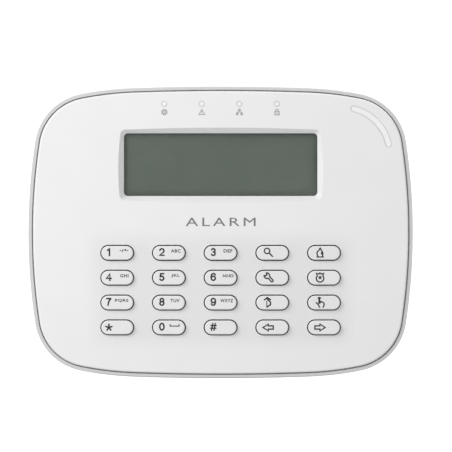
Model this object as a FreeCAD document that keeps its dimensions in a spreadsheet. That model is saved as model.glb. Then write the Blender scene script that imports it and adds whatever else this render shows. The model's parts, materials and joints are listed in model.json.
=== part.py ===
import FreeCAD, Part
import math
import os
import Sketcher
from FreeCAD import Placement, Rotation, Vector

# Wall-mounted alarm keypad panel.
# X runs to the right as the user faces the panel, Z runs up and Y runs into the wall.
# The origin is the centre of the face that touches the wall.
# A "depth" is a distance in front of the wall, so depth d lies at Y = -d.

os.makedirs("parts", exist_ok=True)
doc = FreeCAD.newDocument("alarm_keypad")
sheet = doc.addObject("Spreadsheet::Sheet", "Sizes")

DRIVING_SIZES = {
    # outline of the joint between front cover and rear housing
    "joint_half_width": 80.9,
    "joint_half_height": 60.95,
    "side_radius": 258.0,
    "corner_radius": 22.7,
    "shoulder_radius": 138.6,
    "joint_gap": 0.55,
    # domed front
    "dome_radius": 1250.0,
    "face_depth": 22.0,
    "cover_wall": 2.0,
    "cover_edge_round": 0.8,
    "cover_rear_depth": 13.0,
    # rear housing
    "housing_rear_depth": 0.8,
    "housing_wall": 1.9,
    "belly_bulge": 1.95,
    "belly_depth": 12.8,
    "belly_radius": 37.3,
    "rim_step": 0.9,
    "joint_ledge_drop": 1.6,
    "floor_depth": 3.2,
    "floor_thickness": 2.0,
    # wall plate
    "plate_width": 150.0,
    "plate_bottom": -50.5,
    "plate_top": 56.5,
    "plate_corner": 26.0,
    "plate_thickness": 2.0,
    "plate_rib_width": 2.0,
    "plate_rib_height": 1.0,
    "wall_screw_spacing_x": 120.0,
    "wall_screw_spacing_z": 60.0,
    "wall_screw_hole": 4.5,
    "cable_opening_width": 40.0,
    "cable_opening_bottom": -8.0,
    "cable_opening_top": 14.0,
    "hook_spacing_x": 90.0,
    "hook_height": 30.0,
    "hook_width": 10.0,
    "hook_stem": 2.5,
    "hook_lip": 3.5,
    "hook_thickness": 2.0,
    "slide_travel": 6.0,
    "fit_gap": 0.1,
    # lock screw
    "tab_width": 10.0,
    "tab_bottom": -52.8,
    "tab_height": 3.0,
    "tab_depth": 9.8,
    "lock_screw_depth": 7.5,
    "lock_screw_shank": 3.0,
    "lock_screw_head": 5.5,
    # main board and its screws
    "board_depth": 10.4,
    "board_thickness": 1.6,
    "board_inset": 4.0,
    "case_screw_shank": 2.9,
    "case_screw_head": 5.6,
    "case_screw_clearance": 3.4,
    "case_post": 8.0,
    "cover_boss": 6.4,
    "board_screw_shank": 2.2,
    "board_screw_head": 4.2,
    "board_post": 6.0,
    # display
    "window_width": 83.1,
    "window_height": 26.9,
    "window_height_above_centre": 29.1,
    "window_corner": 1.7,
    "window_depth": 17.9,
    "bevel_width": 2.2,
    "lens_thickness": 1.2,
    "tape_thickness": 0.2,
    # keys
    "key_columns": 5.0,
    "key_rows": 4.0,
    "key_pitch_x": 22.18,
    "key_pitch_z": 10.66,
    "top_row_height": -8.81,
    "key_hole_width": 14.6,
    "key_hole_height": 6.9,
    "key_side_gap": 0.5,
    "key_proud": 1.6,
    "key_edge_round": 0.5,
    "key_flange": 1.0,
    "key_flange_thickness": 1.5,
    "key_bottom_depth": 13.5,
    "key_travel": 1.0,
    "key_guide_wall": 0.9,
    "key_guide_depth": 15.2,
    "pill_thickness": 0.4,
    "mat_thickness": 1.0,
    # indicator lights
    "status_light_spacing": 16.11,
    "status_light_height": 55.1,
    "status_light_diameter": 1.8,
    "light_recess_margin": 0.4,
    "light_recess_depth": 0.13,
    "light_fit": 0.03,
    "arc_centre_x": 52.65,
    "arc_centre_z": 33.54,
    "arc_radius": 20.0,
    "arc_width": 2.2,
    "arc_start_angle": 12.4,
    "arc_end_angle": 76.6,
    # terminals
    "terminal_pitch": 3.81,
    "terminal_depth": 2.4,
    "terminal_height": 16.0,
    "terminal_body_height": 7.6,
    # tamper switch
    "tamper_x": -20.0,
    "tamper_z": -22.0,
    "tamper_travel": 1.5,
    "plunger_tip_gap": 0.05,
}
SIDE_ANGLE = math.radians(8.65)
SHOULDER_ANGLE = math.radians(78.64)


def fill_sheet():
    for row, (name, number) in enumerate(DRIVING_SIZES.items(), start=1):
        sheet.set(f"A{row}", name)
        sheet.set(f"B{row}", str(number))
        sheet.setAlias(f"B{row}", name)
    doc.recompute()


class Size:
    """A length that carries its value and the sheet expression that gives it."""

    def __init__(self, value, text):
        self.value = float(value)
        self.text = text

    def __add__(self, other):
        other = as_size(other)
        return Size(self.value + other.value, f"({self.text} + {other.text})")

    def __sub__(self, other):
        other = as_size(other)
        return Size(self.value - other.value, f"({self.text} - {other.text})")

    def __mul__(self, other):
        other = as_size(other)
        return Size(self.value * other.value, f"({self.text} * {other.text})")

    def __truediv__(self, other):
        other = as_size(other)
        return Size(self.value / other.value, f"({self.text} / {other.text})")

    def __neg__(self):
        return Size(-self.value, f"(0 - {self.text})")

    def __radd__(self, other):
        return as_size(other) + self

    def __rsub__(self, other):
        return as_size(other) - self

    def __rmul__(self, other):
        return as_size(other) * self


def as_size(number):
    if isinstance(number, Size):
        return number
    return Size(number, f"{float(number):.6f}")


def size(name):
    return Size(DRIVING_SIZES[name], f"Sizes.{name}")


def bind(item, field, length, unit="1 mm"):
    """Bind one property of an object to a sheet expression."""
    item.setExpression(field, f"{as_size(length).text} * {unit}")


# ---------------------------------------------------------------- sketches

def fix_point(sketch, geometry, corner, x, z):
    """Hold one point of a sketch element at the given place."""
    for kind, length in (("DistanceX", as_size(x)), ("DistanceY", as_size(z))):
        sign = 1 if length.value >= 0 else -1
        where = (-1, 1, geometry, corner) if sign > 0 else (geometry, corner, -1, 1)
        if abs(length.value) < 1e-9:
            axis = -2 if kind == "DistanceX" else -1
            sketch.addConstraint(Sketcher.Constraint("PointOnObject", geometry, corner, axis))
            continue
        index = sketch.addConstraint(Sketcher.Constraint(kind, *where, abs(length.value)))
        bind(sketch, f"Constraints[{index}]", length * sign)


def draw_circle(sketch, x, z, diameter):
    x, z, diameter = as_size(x), as_size(z), as_size(diameter)
    circle = Part.Circle(Vector(x.value, z.value, 0), Vector(0, 0, 1), diameter.value / 2)
    index = sketch.addGeometry(circle, False)
    fix_point(sketch, index, 3, x, z)
    radius = sketch.addConstraint(Sketcher.Constraint("Radius", index, diameter.value / 2))
    bind(sketch, f"Constraints[{radius}]", diameter / 2)


def draw_rectangle(sketch, x, z, width, height):
    """A rectangle centred at x, z."""
    x, z, width, height = as_size(x), as_size(z), as_size(width), as_size(height)
    left, right = x.value - width.value / 2, x.value + width.value / 2
    low, high = z.value - height.value / 2, z.value + height.value / 2
    corners = [Vector(left, low, 0), Vector(right, low, 0), Vector(right, high, 0), Vector(left, high, 0)]
    first = sketch.GeometryCount
    for start, end in zip(corners, corners[1:] + corners[:1]):
        sketch.addGeometry(Part.LineSegment(start, end), False)
    for side in range(4):
        joined = Sketcher.Constraint("Coincident", first + side, 2, first + (side + 1) % 4, 1)
        sketch.addConstraint(joined)
        kind = "Horizontal" if side % 2 == 0 else "Vertical"
        sketch.addConstraint(Sketcher.Constraint(kind, first + side))
    wide = sketch.addConstraint(Sketcher.Constraint("DistanceX", first, 1, first, 2, width.value))
    tall = sketch.addConstraint(Sketcher.Constraint("DistanceY", first + 1, 1, first + 1, 2, height.value))
    bind(sketch, f"Constraints[{wide}]", width)
    bind(sketch, f"Constraints[{tall}]", height)
    fix_point(sketch, first, 1, x - width / 2, z - height / 2)


def add_chain(sketch, curves):
    """Add curves that meet end to end, and join each to the next."""
    first = sketch.GeometryCount
    for curve in curves:
        sketch.addGeometry(curve, False)
    return first


def arc(cx, cz, radius, start, end):
    circle = Part.Circle(Vector(cx, cz, 0), Vector(0, 0, 1), radius)
    return Part.ArcOfCircle(circle, start, end)


def line(x0, z0, x1, z1):
    return Part.LineSegment(Vector(x0, z0, 0), Vector(x1, z1, 0))


def draw_stadium(sketch, x, z, width, height):
    """A shape with straight top and bottom and half-round ends, centred at x, z."""
    x, z, width, height = as_size(x), as_size(z), as_size(width), as_size(height)
    radius = height.value / 2
    reach = width.value / 2 - radius
    left, right = x.value - reach, x.value + reach
    first = add_chain(sketch, [
        line(left, z.value - radius, right, z.value - radius),
        arc(right, z.value, radius, -math.pi / 2, math.pi / 2),
        line(right, z.value + radius, left, z.value + radius),
        arc(left, z.value, radius, math.pi / 2, 3 * math.pi / 2),
    ])
    # a line runs start 1 to end 2; an arc runs anticlockwise from 1 to 2
    sketch.addConstraint(Sketcher.Constraint("Tangent", first, 2, first + 1, 1))
    sketch.addConstraint(Sketcher.Constraint("Tangent", first + 1, 2, first + 2, 1))
    sketch.addConstraint(Sketcher.Constraint("Tangent", first + 2, 2, first + 3, 1))
    sketch.addConstraint(Sketcher.Constraint("Tangent", first + 3, 2, first, 1))
    round_end = sketch.addConstraint(Sketcher.Constraint("Radius", first + 1, radius))
    bind(sketch, f"Constraints[{round_end}]", height / 2)
    fix_point(sketch, first + 1, 3, x + (width - height) / 2, z)
    fix_point(sketch, first + 3, 3, x - (width - height) / 2, z)


def draw_rounded_rectangle(sketch, x, z, width, height, corner):
    x, z, r = as_size(x).value, as_size(z).value, as_size(corner).value
    left, right = x - as_size(width).value / 2, x + as_size(width).value / 2
    low, high = z - as_size(height).value / 2, z + as_size(height).value / 2
    quarter = math.pi / 2
    add_chain(sketch, [
        line(left + r, low, right - r, low),
        arc(right - r, low + r, r, -quarter, 0),
        line(right, low + r, right, high - r),
        arc(right - r, high - r, r, 0, quarter),
        line(right - r, high, left + r, high),
        arc(left + r, high - r, r, quarter, 2 * quarter),
        line(left, high - r, left, low + r),
        arc(left + r, low + r, r, 2 * quarter, 3 * quarter),
    ])


def quarter_outline():
    """Centre, radius and end angles of the four tangent arcs from the right side up to the top."""
    half_width, half_height = size("joint_half_width").value, size("joint_half_height").value
    side, corner = size("side_radius").value, size("corner_radius").value
    shoulder = size("shoulder_radius").value
    side_x = half_width - side
    corner_x = side_x + (side - corner) * math.cos(SIDE_ANGLE)
    corner_z = (side - corner) * math.sin(SIDE_ANGLE)
    shoulder_x = corner_x + (corner - shoulder) * math.cos(SHOULDER_ANGLE)
    shoulder_z = corner_z + (corner - shoulder) * math.sin(SHOULDER_ANGLE)
    # the top arc is centred on the middle line and tangent to the shoulder arc
    rise = half_height - shoulder_z
    top = (shoulder_x ** 2 + rise ** 2 - shoulder ** 2) / (2 * (rise - shoulder))
    top_z = half_height - top
    top_angle = math.atan2(shoulder_z - top_z, shoulder_x)
    return [
        (side_x, 0.0, side, 0.0, SIDE_ANGLE),
        (corner_x, corner_z, corner, SIDE_ANGLE, SHOULDER_ANGLE),
        (shoulder_x, shoulder_z, shoulder, SHOULDER_ANGLE, top_angle),
        (0.0, top_z, top, top_angle, math.pi / 2),
    ]


def draw_outline(sketch, offset):
    """The whole case outline, moved outwards by the offset, drawn anticlockwise from its right side."""
    offset = as_size(offset).value
    quarter = quarter_outline()
    half = [(x, z, r, a, b) for x, z, r, a, b in quarter]
    half += [(-x, z, r, math.pi - b, math.pi - a) for x, z, r, a, b in reversed(quarter)]
    whole = half + [(-x, -z, r, math.pi + a, math.pi + b) for x, z, r, a, b in half]
    add_chain(sketch, [arc(x, z, r + offset, a, b) for x, z, r, a, b in whole])


def draw_arc_band(sketch, width):
    """A curved slot of one width with round ends."""
    cx, cz = size("arc_centre_x").value, size("arc_centre_z").value
    radius, half = size("arc_radius").value, as_size(width).value / 2
    start = math.radians(size("arc_start_angle").value)
    end = math.radians(size("arc_end_angle").value)
    first = (cx + radius * math.cos(start), cz + radius * math.sin(start))
    last = (cx + radius * math.cos(end), cz + radius * math.sin(end))
    add_chain(sketch, [
        arc(cx, cz, radius + half, start, end),
        arc(last[0], last[1], half, end, end + math.pi),
        arc(cx, cz, radius - half, start, end),
        arc(first[0], first[1], half, start - math.pi, start),
    ])


def draw_bowed_window(sketch, spread, side_bow, top_bow, corner):
    """The window outline spread outwards, with its four sides bowed outwards."""
    cx, cz = 0.0, size("window_height_above_centre").value
    w = size("window_width").value / 2 + spread
    h = size("window_height").value / 2 + spread
    points = [
        (w - corner, -h), (w, -h + corner), (w, h - corner), (w - corner, h),
        (-w + corner, h), (-w, h - corner), (-w, -h + corner), (-w + corner, -h),
    ]
    middles = [(w + side_bow, 0), (0, h + top_bow), (-w - side_bow, 0), (0, -h - top_bow)]
    diagonal = corner * (1 - math.sqrt(0.5))
    corners = [(w, -h), (w, h), (-w, h), (-w, -h)]
    curves = []
    for side in range(4):
        px, pz = corners[side]
        rounded = (px - math.copysign(diagonal, px), pz - math.copysign(diagonal, pz))
        bend = [points[2 * side], rounded, points[2 * side + 1]]
        bow = [points[2 * side + 1], middles[side], points[(2 * side + 2) % 8]]
        for three in (bend, bow):
            curves.append(Part.Arc(*[Vector(cx + p[0], cz + p[1], 0) for p in three]))
    add_chain(sketch, curves)


# ---------------------------------------------------------------- feature helpers

FACING = Rotation(Vector(1, 0, 0), 90)


def origin_plane(body, role):
    return next(item for item in body.Origin.OriginFeatures if item.Role == role)


def new_body(name):
    body = doc.addObject("PartDesign::Body", name)
    body.Label = name
    return body


def body_sketch(body, name, plane, offset):
    """A sketch on one of the body's own origin planes, moved along the plane's normal."""
    sketch = body.newObject("Sketcher::SketchObject", name)
    sketch.AttachmentSupport = (origin_plane(body, plane), [""])
    sketch.MapMode = "FlatFace"
    sketch.AttachmentOffset = Placement(Vector(0, 0, as_size(offset).value), Rotation())
    bind(sketch, ".AttachmentOffset.Base.z", offset)
    return sketch


def pad(body, name, draw, start, end, plane="XZ_Plane"):
    """Add material between two depths (or two heights on the XY plane)."""
    sketch = body_sketch(body, f"{name}_sketch", plane, start)
    draw(sketch)
    feature = body.newObject("PartDesign::Pad", name)
    feature.Profile = sketch
    feature.Length = as_size(end).value - as_size(start).value
    bind(feature, "Length", as_size(end) - start)
    body.Tip = feature
    return feature


def pocket(body, name, draw, start, end, plane="XZ_Plane"):
    """Remove material between two depths; the sketch lies at the far end and the cut runs back."""
    sketch = body_sketch(body, f"{name}_sketch", plane, end)
    draw(sketch)
    feature = body.newObject("PartDesign::Pocket", name)
    feature.Profile = sketch
    feature.Type = 0
    feature.Length = as_size(end).value - as_size(start).value
    bind(feature, "Length", as_size(end) - start)
    body.Tip = feature
    return feature


def free_sketch(name, depth, draw):
    """A sketch facing the user, at one depth, outside any body."""
    sketch = doc.addObject("Sketcher::SketchObject", name)
    sketch.Placement = Placement(Vector(0, -as_size(depth).value, 0), FACING)
    bind(sketch, ".Placement.Base.y", -as_size(depth))
    draw(sketch)
    return sketch


def prism(name, draw, start, end):
    """Straight solids between two depths, one for each closed outline."""
    solid = doc.addObject("Part::Extrusion", name)
    solid.Base = free_sketch(f"{name}_sketch", start, draw)
    solid.DirMode = "Normal"
    solid.Solid = True
    solid.LengthFwd = as_size(end).value - as_size(start).value
    bind(solid, "LengthFwd", as_size(end) - start)
    return solid


def dome(name, depth):
    """A great ball whose front-most point is at the given depth; it shapes the domed front."""
    ball = doc.addObject("Part::Sphere", name)
    ball.Radius = size("dome_radius").value
    bind(ball, "Radius", size("dome_radius"))
    ball.Placement.Base = Vector(0, size("dome_radius").value - as_size(depth).value, 0)
    bind(ball, ".Placement.Base.y", size("dome_radius") - depth)
    return ball


def common(name, base, tool):
    both = doc.addObject("Part::Common", name)
    both.Base, both.Tool = base, tool
    return both


def cut(name, base, tool):
    less = doc.addObject("Part::Cut", name)
    less.Base, less.Tool = base, tool
    return less


def fuse(name, pieces):
    whole = doc.addObject("Part::MultiFuse", name)
    whole.Shapes = pieces
    return whole


def group(name, pieces):
    together = doc.addObject("Part::Compound", name)
    together.Links = pieces
    return together


def cylinder(name, diameter, start, length, x=0, z=0, axis="depth"):
    """A cylinder along the depth, or along Z with its base at height z and the depth as start."""
    rod = doc.addObject("Part::Cylinder", name)
    rod.Radius = as_size(diameter).value / 2
    rod.Height = as_size(length).value
    bind(rod, "Radius", as_size(diameter) / 2)
    bind(rod, "Height", length)
    turn = FACING if axis == "depth" else Rotation()
    rod.Placement = Placement(Vector(as_size(x).value, -as_size(start).value, as_size(z).value), turn)
    bind(rod, ".Placement.Base.x", x)
    bind(rod, ".Placement.Base.y", -as_size(start))
    bind(rod, ".Placement.Base.z", z)
    return rod


def box(name, x, z, width, height, start, end):
    """A box centred at x, z between two depths."""
    x, z, width, height = as_size(x), as_size(z), as_size(width), as_size(height)
    block = doc.addObject("Part::Box", name)
    thick = as_size(end) - start
    block.Length, block.Width, block.Height = width.value, thick.value, height.value
    bind(block, "Length", width)
    bind(block, "Width", thick)
    bind(block, "Height", height)
    low = Vector((x - width / 2).value, -as_size(end).value, (z - height / 2).value)
    block.Placement = Placement(low, Rotation())
    bind(block, ".Placement.Base.x", x - width / 2)
    bind(block, ".Placement.Base.y", -as_size(end))
    bind(block, ".Placement.Base.z", z - height / 2)
    return block


def round_front_edges(name, base, radius, least_depth):
    """Round every edge that lies wholly in front of a depth."""
    doc.recompute()
    rounded = doc.addObject("Part::Fillet", name)
    rounded.Base = base
    edges = []
    for index, edge in enumerate(base.Shape.Edges, start=1):
        if all(-vertex.Y > least_depth for vertex in edge.Vertexes):
            edges.append((index, radius, radius))
    rounded.Edges = edges
    return rounded


# ---------------------------------------------------------------- layout

fill_sheet()

GAP = size("fit_gap")
COVER_OFFSET = -size("joint_gap") / 2
RIM_OFFSET = size("joint_gap") / 2
SKIRT_OFFSET = COVER_OFFSET - size("cover_wall")
FLOOR_FRONT = size("floor_depth") + size("floor_thickness")
BOARD_BACK = size("board_depth")
BOARD_FRONT = size("board_depth") + size("board_thickness")
WINDOW_Z = size("window_height_above_centre")
INNER_FACE = size("face_depth") - size("cover_wall")
BEYOND_FACE = size("face_depth") + 4
# height of the seat inside the bottom wall that the lock screw's head faces
LOCK_SEAT = -size("joint_half_height") + 0.8
# depth of the seat inside each case post that a case screw's head pulls against
CASE_SCREW_SEAT = FLOOR_FRONT + 0.4
CASE_SCREW_POINT = BOARD_FRONT + 5.5

KEY_NAMES = [
    ["key_1", "key_2", "key_3", "key_search", "key_fire"],
    ["key_4", "key_5", "key_6", "key_tool", "key_badge"],
    ["key_7", "key_8", "key_9", "key_bypass", "key_touch"],
    ["key_star", "key_0", "key_hash", "key_left", "key_right"],
]


def key_places():
    """Name, x and z of every key."""
    middle = (len(KEY_NAMES[0]) - 1) / 2
    for row, names in enumerate(KEY_NAMES):
        for column, name in enumerate(names):
            x = size("key_pitch_x") * (column - middle)
            z = size("top_row_height") - size("key_pitch_z") * row
            yield name, x, z


CASE_SCREWS = [(50.0, 51.5), (-50.0, 51.5), (64.0, -46.0), (-64.0, -46.0)]
BOARD_SCREWS = [(64.0, 10.0), (-64.0, 10.0), (30.0, -52.0), (-30.0, -52.0)]
STATUS_LIGHTS = [size("status_light_spacing") * step for step in (-1.5, -0.5, 0.5, 1.5)]
ARC_LIGHT_ANGLES = [25.0, 45.0, 65.0]
HOOKS = [(side * size("hook_spacing_x") / 2, size("hook_height") * level) for side in (-1, 1)
         for level in (-1, 1)]
TERMINALS = [size("terminal_pitch") * step for step in (-1.5, -0.5, 0.5, 1.5)]
nodes = {}


def keep(name, item):
    item.Label = name
    nodes[name] = item
    return item


def draw_key_stadiums(grow):
    """A drawing of one stadium per key, larger than the key hole by a margin on each side."""
    def draw(sketch):
        for _, x, z in key_places():
            width = size("key_hole_width") + 2 * as_size(grow)
            height = size("key_hole_height") + 2 * as_size(grow)
            draw_stadium(sketch, x, z, width, height)
    return draw


def draw_circles(places, diameter):
    def draw(sketch):
        for x, z in places:
            draw_circle(sketch, x, z, diameter)
    return draw


# ---------------------------------------------------------------- wall plate

def wall_plate():
    body = new_body("wall_plate")
    opening_corner, foot_overlap = 3.0, 2.0
    thick = size("plate_thickness")
    centre = (size("plate_top") + size("plate_bottom")) / 2
    height = size("plate_top") - size("plate_bottom")
    corner = size("plate_corner")

    def sheet_outline(sketch):
        draw_rounded_rectangle(sketch, 0, centre, size("plate_width"), height, corner)

    def rib_outline(sketch):
        rib = size("plate_rib_width")
        sheet_outline(sketch)
        inner_width, inner_height = size("plate_width") - 2 * rib, height - 2 * rib
        draw_rounded_rectangle(sketch, 0, centre, inner_width, inner_height, corner - rib)

    pad(body, "plate_sheet", sheet_outline, 0, thick)
    pad(body, "plate_rib", rib_outline, thick, thick + size("plate_rib_height"))

    reach = FLOOR_FRONT + 2 * GAP
    tip = reach + size("hook_thickness")
    for number, (x, z) in enumerate(HOOKS):
        stem_z = z + size("hook_stem") / 2
        lip_z = z + (size("hook_stem") + size("hook_lip")) / 2
        full = size("hook_stem") + size("hook_lip")

        def stem(sketch, x=x, stem_z=stem_z):
            draw_rectangle(sketch, x, stem_z, size("hook_width"), size("hook_stem"))

        def lip(sketch, x=x, lip_z=lip_z, full=full):
            draw_rectangle(sketch, x, lip_z, size("hook_width"), full)

        pad(body, f"hook_stem_{number}", stem, thick, reach)
        pad(body, f"hook_lip_{number}", lip, reach, tip)

    def tab(sketch):
        tab_z = size("tab_bottom") + size("tab_height") / 2
        draw_rectangle(sketch, 0, tab_z, size("tab_width"), size("tab_height"))

    def tab_foot(sketch):
        foot_top = size("tab_bottom") + size("tab_height")
        foot_height = foot_top - size("plate_bottom") + foot_overlap
        foot_z = foot_top - foot_height / 2 + foot_overlap
        draw_rectangle(sketch, 0, foot_z, size("tab_width"), foot_height)

    pad(body, "lock_tab", tab, 0, size("tab_depth"))
    pad(body, "lock_tab_foot", tab_foot, 0, thick + size("plate_rib_height"))

    def cable_opening(sketch):
        low, high = size("cable_opening_bottom"), size("cable_opening_top")
        draw_rounded_rectangle(sketch, 0, (low + high) / 2, size("cable_opening_width"), high - low,
                               opening_corner)

    def wall_screw_holes(sketch):
        for side in (-1, 1):
            for level in (-1, 1):
                x = size("wall_screw_spacing_x") * side / 2
                z = size("wall_screw_spacing_z") * level / 2
                draw_circle(sketch, x, z, size("wall_screw_hole"))

    pocket(body, "cable_opening", cable_opening, 0, thick)
    pocket(body, "wall_screw_holes", wall_screw_holes, 0, thick)

    def lock_hole(sketch):
        draw_circle(sketch, 0, -size("lock_screw_depth"), size("lock_screw_shank") + GAP)

    top = size("tab_bottom") + size("tab_height")
    pocket(body, "lock_screw_hole", lock_hole, size("tab_bottom"), top, "XY_Plane")
    keep("wall_plate", body)


def lock_screw():
    """A slotted screw that points up through the bottom wall into the plate's tab."""
    head_height, point_beyond_tab = 1.8, 1.0
    slot_length, slot_width, slot_cut = 4.6, 0.8, 0.8
    depth = size("lock_screw_depth")
    head_top = LOCK_SEAT - GAP
    head_bottom = head_top - head_height
    head = cylinder("lock_head", size("lock_screw_head"), depth, head_height, 0, head_bottom, "z")
    shank_length = size("tab_bottom") + size("tab_height") - head_top + point_beyond_tab
    shank = cylinder("lock_shank", size("lock_screw_shank") - GAP, depth, shank_length, 0, head_top, "z")
    whole = fuse("lock_screw_blank", [head, shank])
    slot = box("lock_slot", 0, head_bottom, slot_length, 2 * slot_cut,
               depth - slot_width / 2, depth + slot_width / 2)
    keep("lock_screw", cut("lock_screw", whole, slot))


# ---------------------------------------------------------------- rear housing

def housing_ring():
    """The side wall: one section swept round the case outline and trimmed to the dome."""
    half_width = size("joint_half_width").value
    bulge, depth = size("belly_bulge").value, size("belly_depth").value
    radius = size("belly_radius").value
    rear = size("housing_rear_depth").value
    front = size("face_depth").value
    rear_round = 0.8
    # how far a quarter round's middle lies inside its corner, as a share of its radius
    inset = 1 - math.sqrt(0.5)

    def outer(at_depth):
        return bulge - radius + math.sqrt(radius ** 2 - (at_depth - depth) ** 2)

    def point(offset, at_depth):
        return Vector(half_width + offset, -at_depth, 0)

    inner = -size("housing_wall").value
    rim = RIM_OFFSET.value
    corners = [
        point(rim, front), point(rim, depth), point(inner, depth), point(inner, rear),
        point(outer(rear + rear_round) - rear_round, rear),
    ]
    section = doc.addObject("Sketcher::SketchObject", "wall_section")
    curves = [Part.LineSegment(a, b) for a, b in zip(corners, corners[1:])]
    low = point(outer(rear + rear_round), rear + rear_round)
    middle = point(outer(rear + rear_round) - rear_round * inset, rear + rear_round * inset)
    curves.append(Part.Arc(corners[-1], middle, low))
    curves.append(Part.Arc(low, point(outer(depth), depth), point(outer(front), front)))
    curves.append(Part.LineSegment(point(outer(front), front), corners[0]))
    add_chain(section, curves)
    path = free_sketch("joint_path", 0, lambda sketch: draw_outline(sketch, 0))
    doc.recompute()
    ring = doc.addObject("Part::Sweep", "wall_ring")
    ring.Sections = [section]
    ring.Spine = (path, [f"Edge{n + 1}" for n in range(path.GeometryCount)])
    ring.Solid = True
    ring.Frenet = False
    return common("wall_ring_trimmed", ring, dome("rim_dome", size("face_depth") - size("rim_step")))


def joint_ledge():
    """A thin lip inside the rim that closes the joint a little way below the rim's front."""
    wall_overlap, root = 0.2, 0.5

    def outside(sketch):
        draw_outline(sketch, RIM_OFFSET + wall_overlap)

    def inside(sketch):
        draw_outline(sketch, COVER_OFFSET + GAP)

    band = prism("ledge_band", both(outside, inside), size("belly_depth") - root, BEYOND_FACE)
    front = size("face_depth") - size("rim_step") - size("joint_ledge_drop")
    return common("joint_ledge", band, dome("ledge_dome", front))


def rear_housing():
    ring = housing_ring()
    floor = prism("housing_floor", lambda s: draw_outline(s, -size("housing_wall") / 2),
                  size("floor_depth"), FLOOR_FRONT)
    case_posts = prism("case_posts", draw_circles(CASE_SCREWS, size("case_post")),
                       size("floor_depth"), BOARD_BACK)
    board_posts = prism("board_posts", draw_circles(BOARD_SCREWS, size("board_post")),
                        size("floor_depth"), BOARD_BACK)
    walls = fuse("housing_solid", [ring, joint_ledge(), floor, case_posts, board_posts])

    drop = size("slide_travel") + 3 * GAP
    side_play, overcut = 1.0, 1.0
    opening_width, opening_corner, terminal_margin = 24.0, 2.0, 2.0
    plunger_opening, head_play, pilot_floor = 7.0, 0.6, 2.5
    lock_bore_length, lock_bore_start, lock_head_bore_length = 6.0, 2.0, 3.0
    before, after = size("floor_depth") - overcut, FLOOR_FRONT + overcut
    bottom = -size("joint_half_height")

    def hook_slots(sketch):
        for x, z in HOOKS:
            low, high = z - drop, z + size("hook_stem") + GAP
            draw_rectangle(sketch, x, (low + high) / 2, size("hook_width") + side_play, high - low)

    def tab_slot(sketch):
        low = bottom + size("housing_wall") + 2 * GAP
        high = size("tab_bottom") + size("tab_height") + 3 * GAP
        draw_rectangle(sketch, 0, (low + high) / 2, size("tab_width") + side_play, high - low)

    def terminal_opening(sketch):
        low = size("cable_opening_bottom")
        high = size("terminal_height") + size("terminal_body_height") / 2 + terminal_margin
        draw_rounded_rectangle(sketch, 0, (low + high) / 2, opening_width, high - low, opening_corner)

    def tamper_opening(sketch):
        draw_circle(sketch, size("tamper_x"), size("tamper_z"), plunger_opening)

    openings = [
        prism("hook_slots", hook_slots, before, after),
        prism("tab_slot", tab_slot, before, after),
        prism("terminal_opening", terminal_opening, before, after),
        prism("tamper_opening", tamper_opening, before, after),
        prism("case_screw_bores", draw_circles(CASE_SCREWS, size("case_screw_clearance")),
              before, BOARD_BACK + overcut),
        prism("case_screw_head_bores", draw_circles(CASE_SCREWS, size("case_screw_head") + head_play),
              before, CASE_SCREW_SEAT),
        prism("board_screw_bores", draw_circles(BOARD_SCREWS, size("board_screw_shank") + GAP),
              size("floor_depth") + pilot_floor, BOARD_BACK + overcut),
        cylinder("lock_screw_bore", size("lock_screw_shank") + head_play, size("lock_screw_depth"),
                 lock_bore_length, 0, bottom - lock_bore_start, "z"),
        cylinder("lock_head_bore", size("lock_screw_head") + head_play, size("lock_screw_depth"),
                 lock_head_bore_length, 0, LOCK_SEAT - lock_head_bore_length, "z"),
    ]
    tools = group("housing_openings", openings)
    keep("rear_housing", cut("rear_housing", walls, tools))


# ---------------------------------------------------------------- front cover

def bevel_tool():
    """The sloping sides of the display window, wider and more bowed towards the front."""
    opening = size("window_depth").value
    slope_height, side_bow, top_bow, barely_bowed, outer_corner = 3.2, 0.68, 0.42, 0.02, 2.6
    beyond = 0.5
    # the tool runs on past the face at the same slope, so that the dome trims it
    reach = size("face_depth").value + beyond - opening
    growth = reach / slope_height
    spread = (size("bevel_width").value - side_bow / 2) * growth
    flat = free_sketch("bevel_small", opening, lambda s: draw_bowed_window(
        s, 0.0, barely_bowed, barely_bowed, size("window_corner").value))
    wide = free_sketch("bevel_large", opening + reach, lambda s: draw_bowed_window(
        s, spread, side_bow * growth, top_bow * growth, outer_corner))
    loft = doc.addObject("Part::Loft", "window_bevel")
    loft.Sections = [flat, wide]
    loft.Solid = True
    loft.Ruled = True
    return loft


def light_recess(name, draw):
    """A tool that sinks a shallow groove of even depth round a light, following the dome."""
    below_face = 3.0
    column = prism(f"{name}_column", draw, INNER_FACE - below_face, BEYOND_FACE)
    floor = dome(f"{name}_floor", size("face_depth") - size("light_recess_depth"))
    return cut(name, column, floor)


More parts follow.
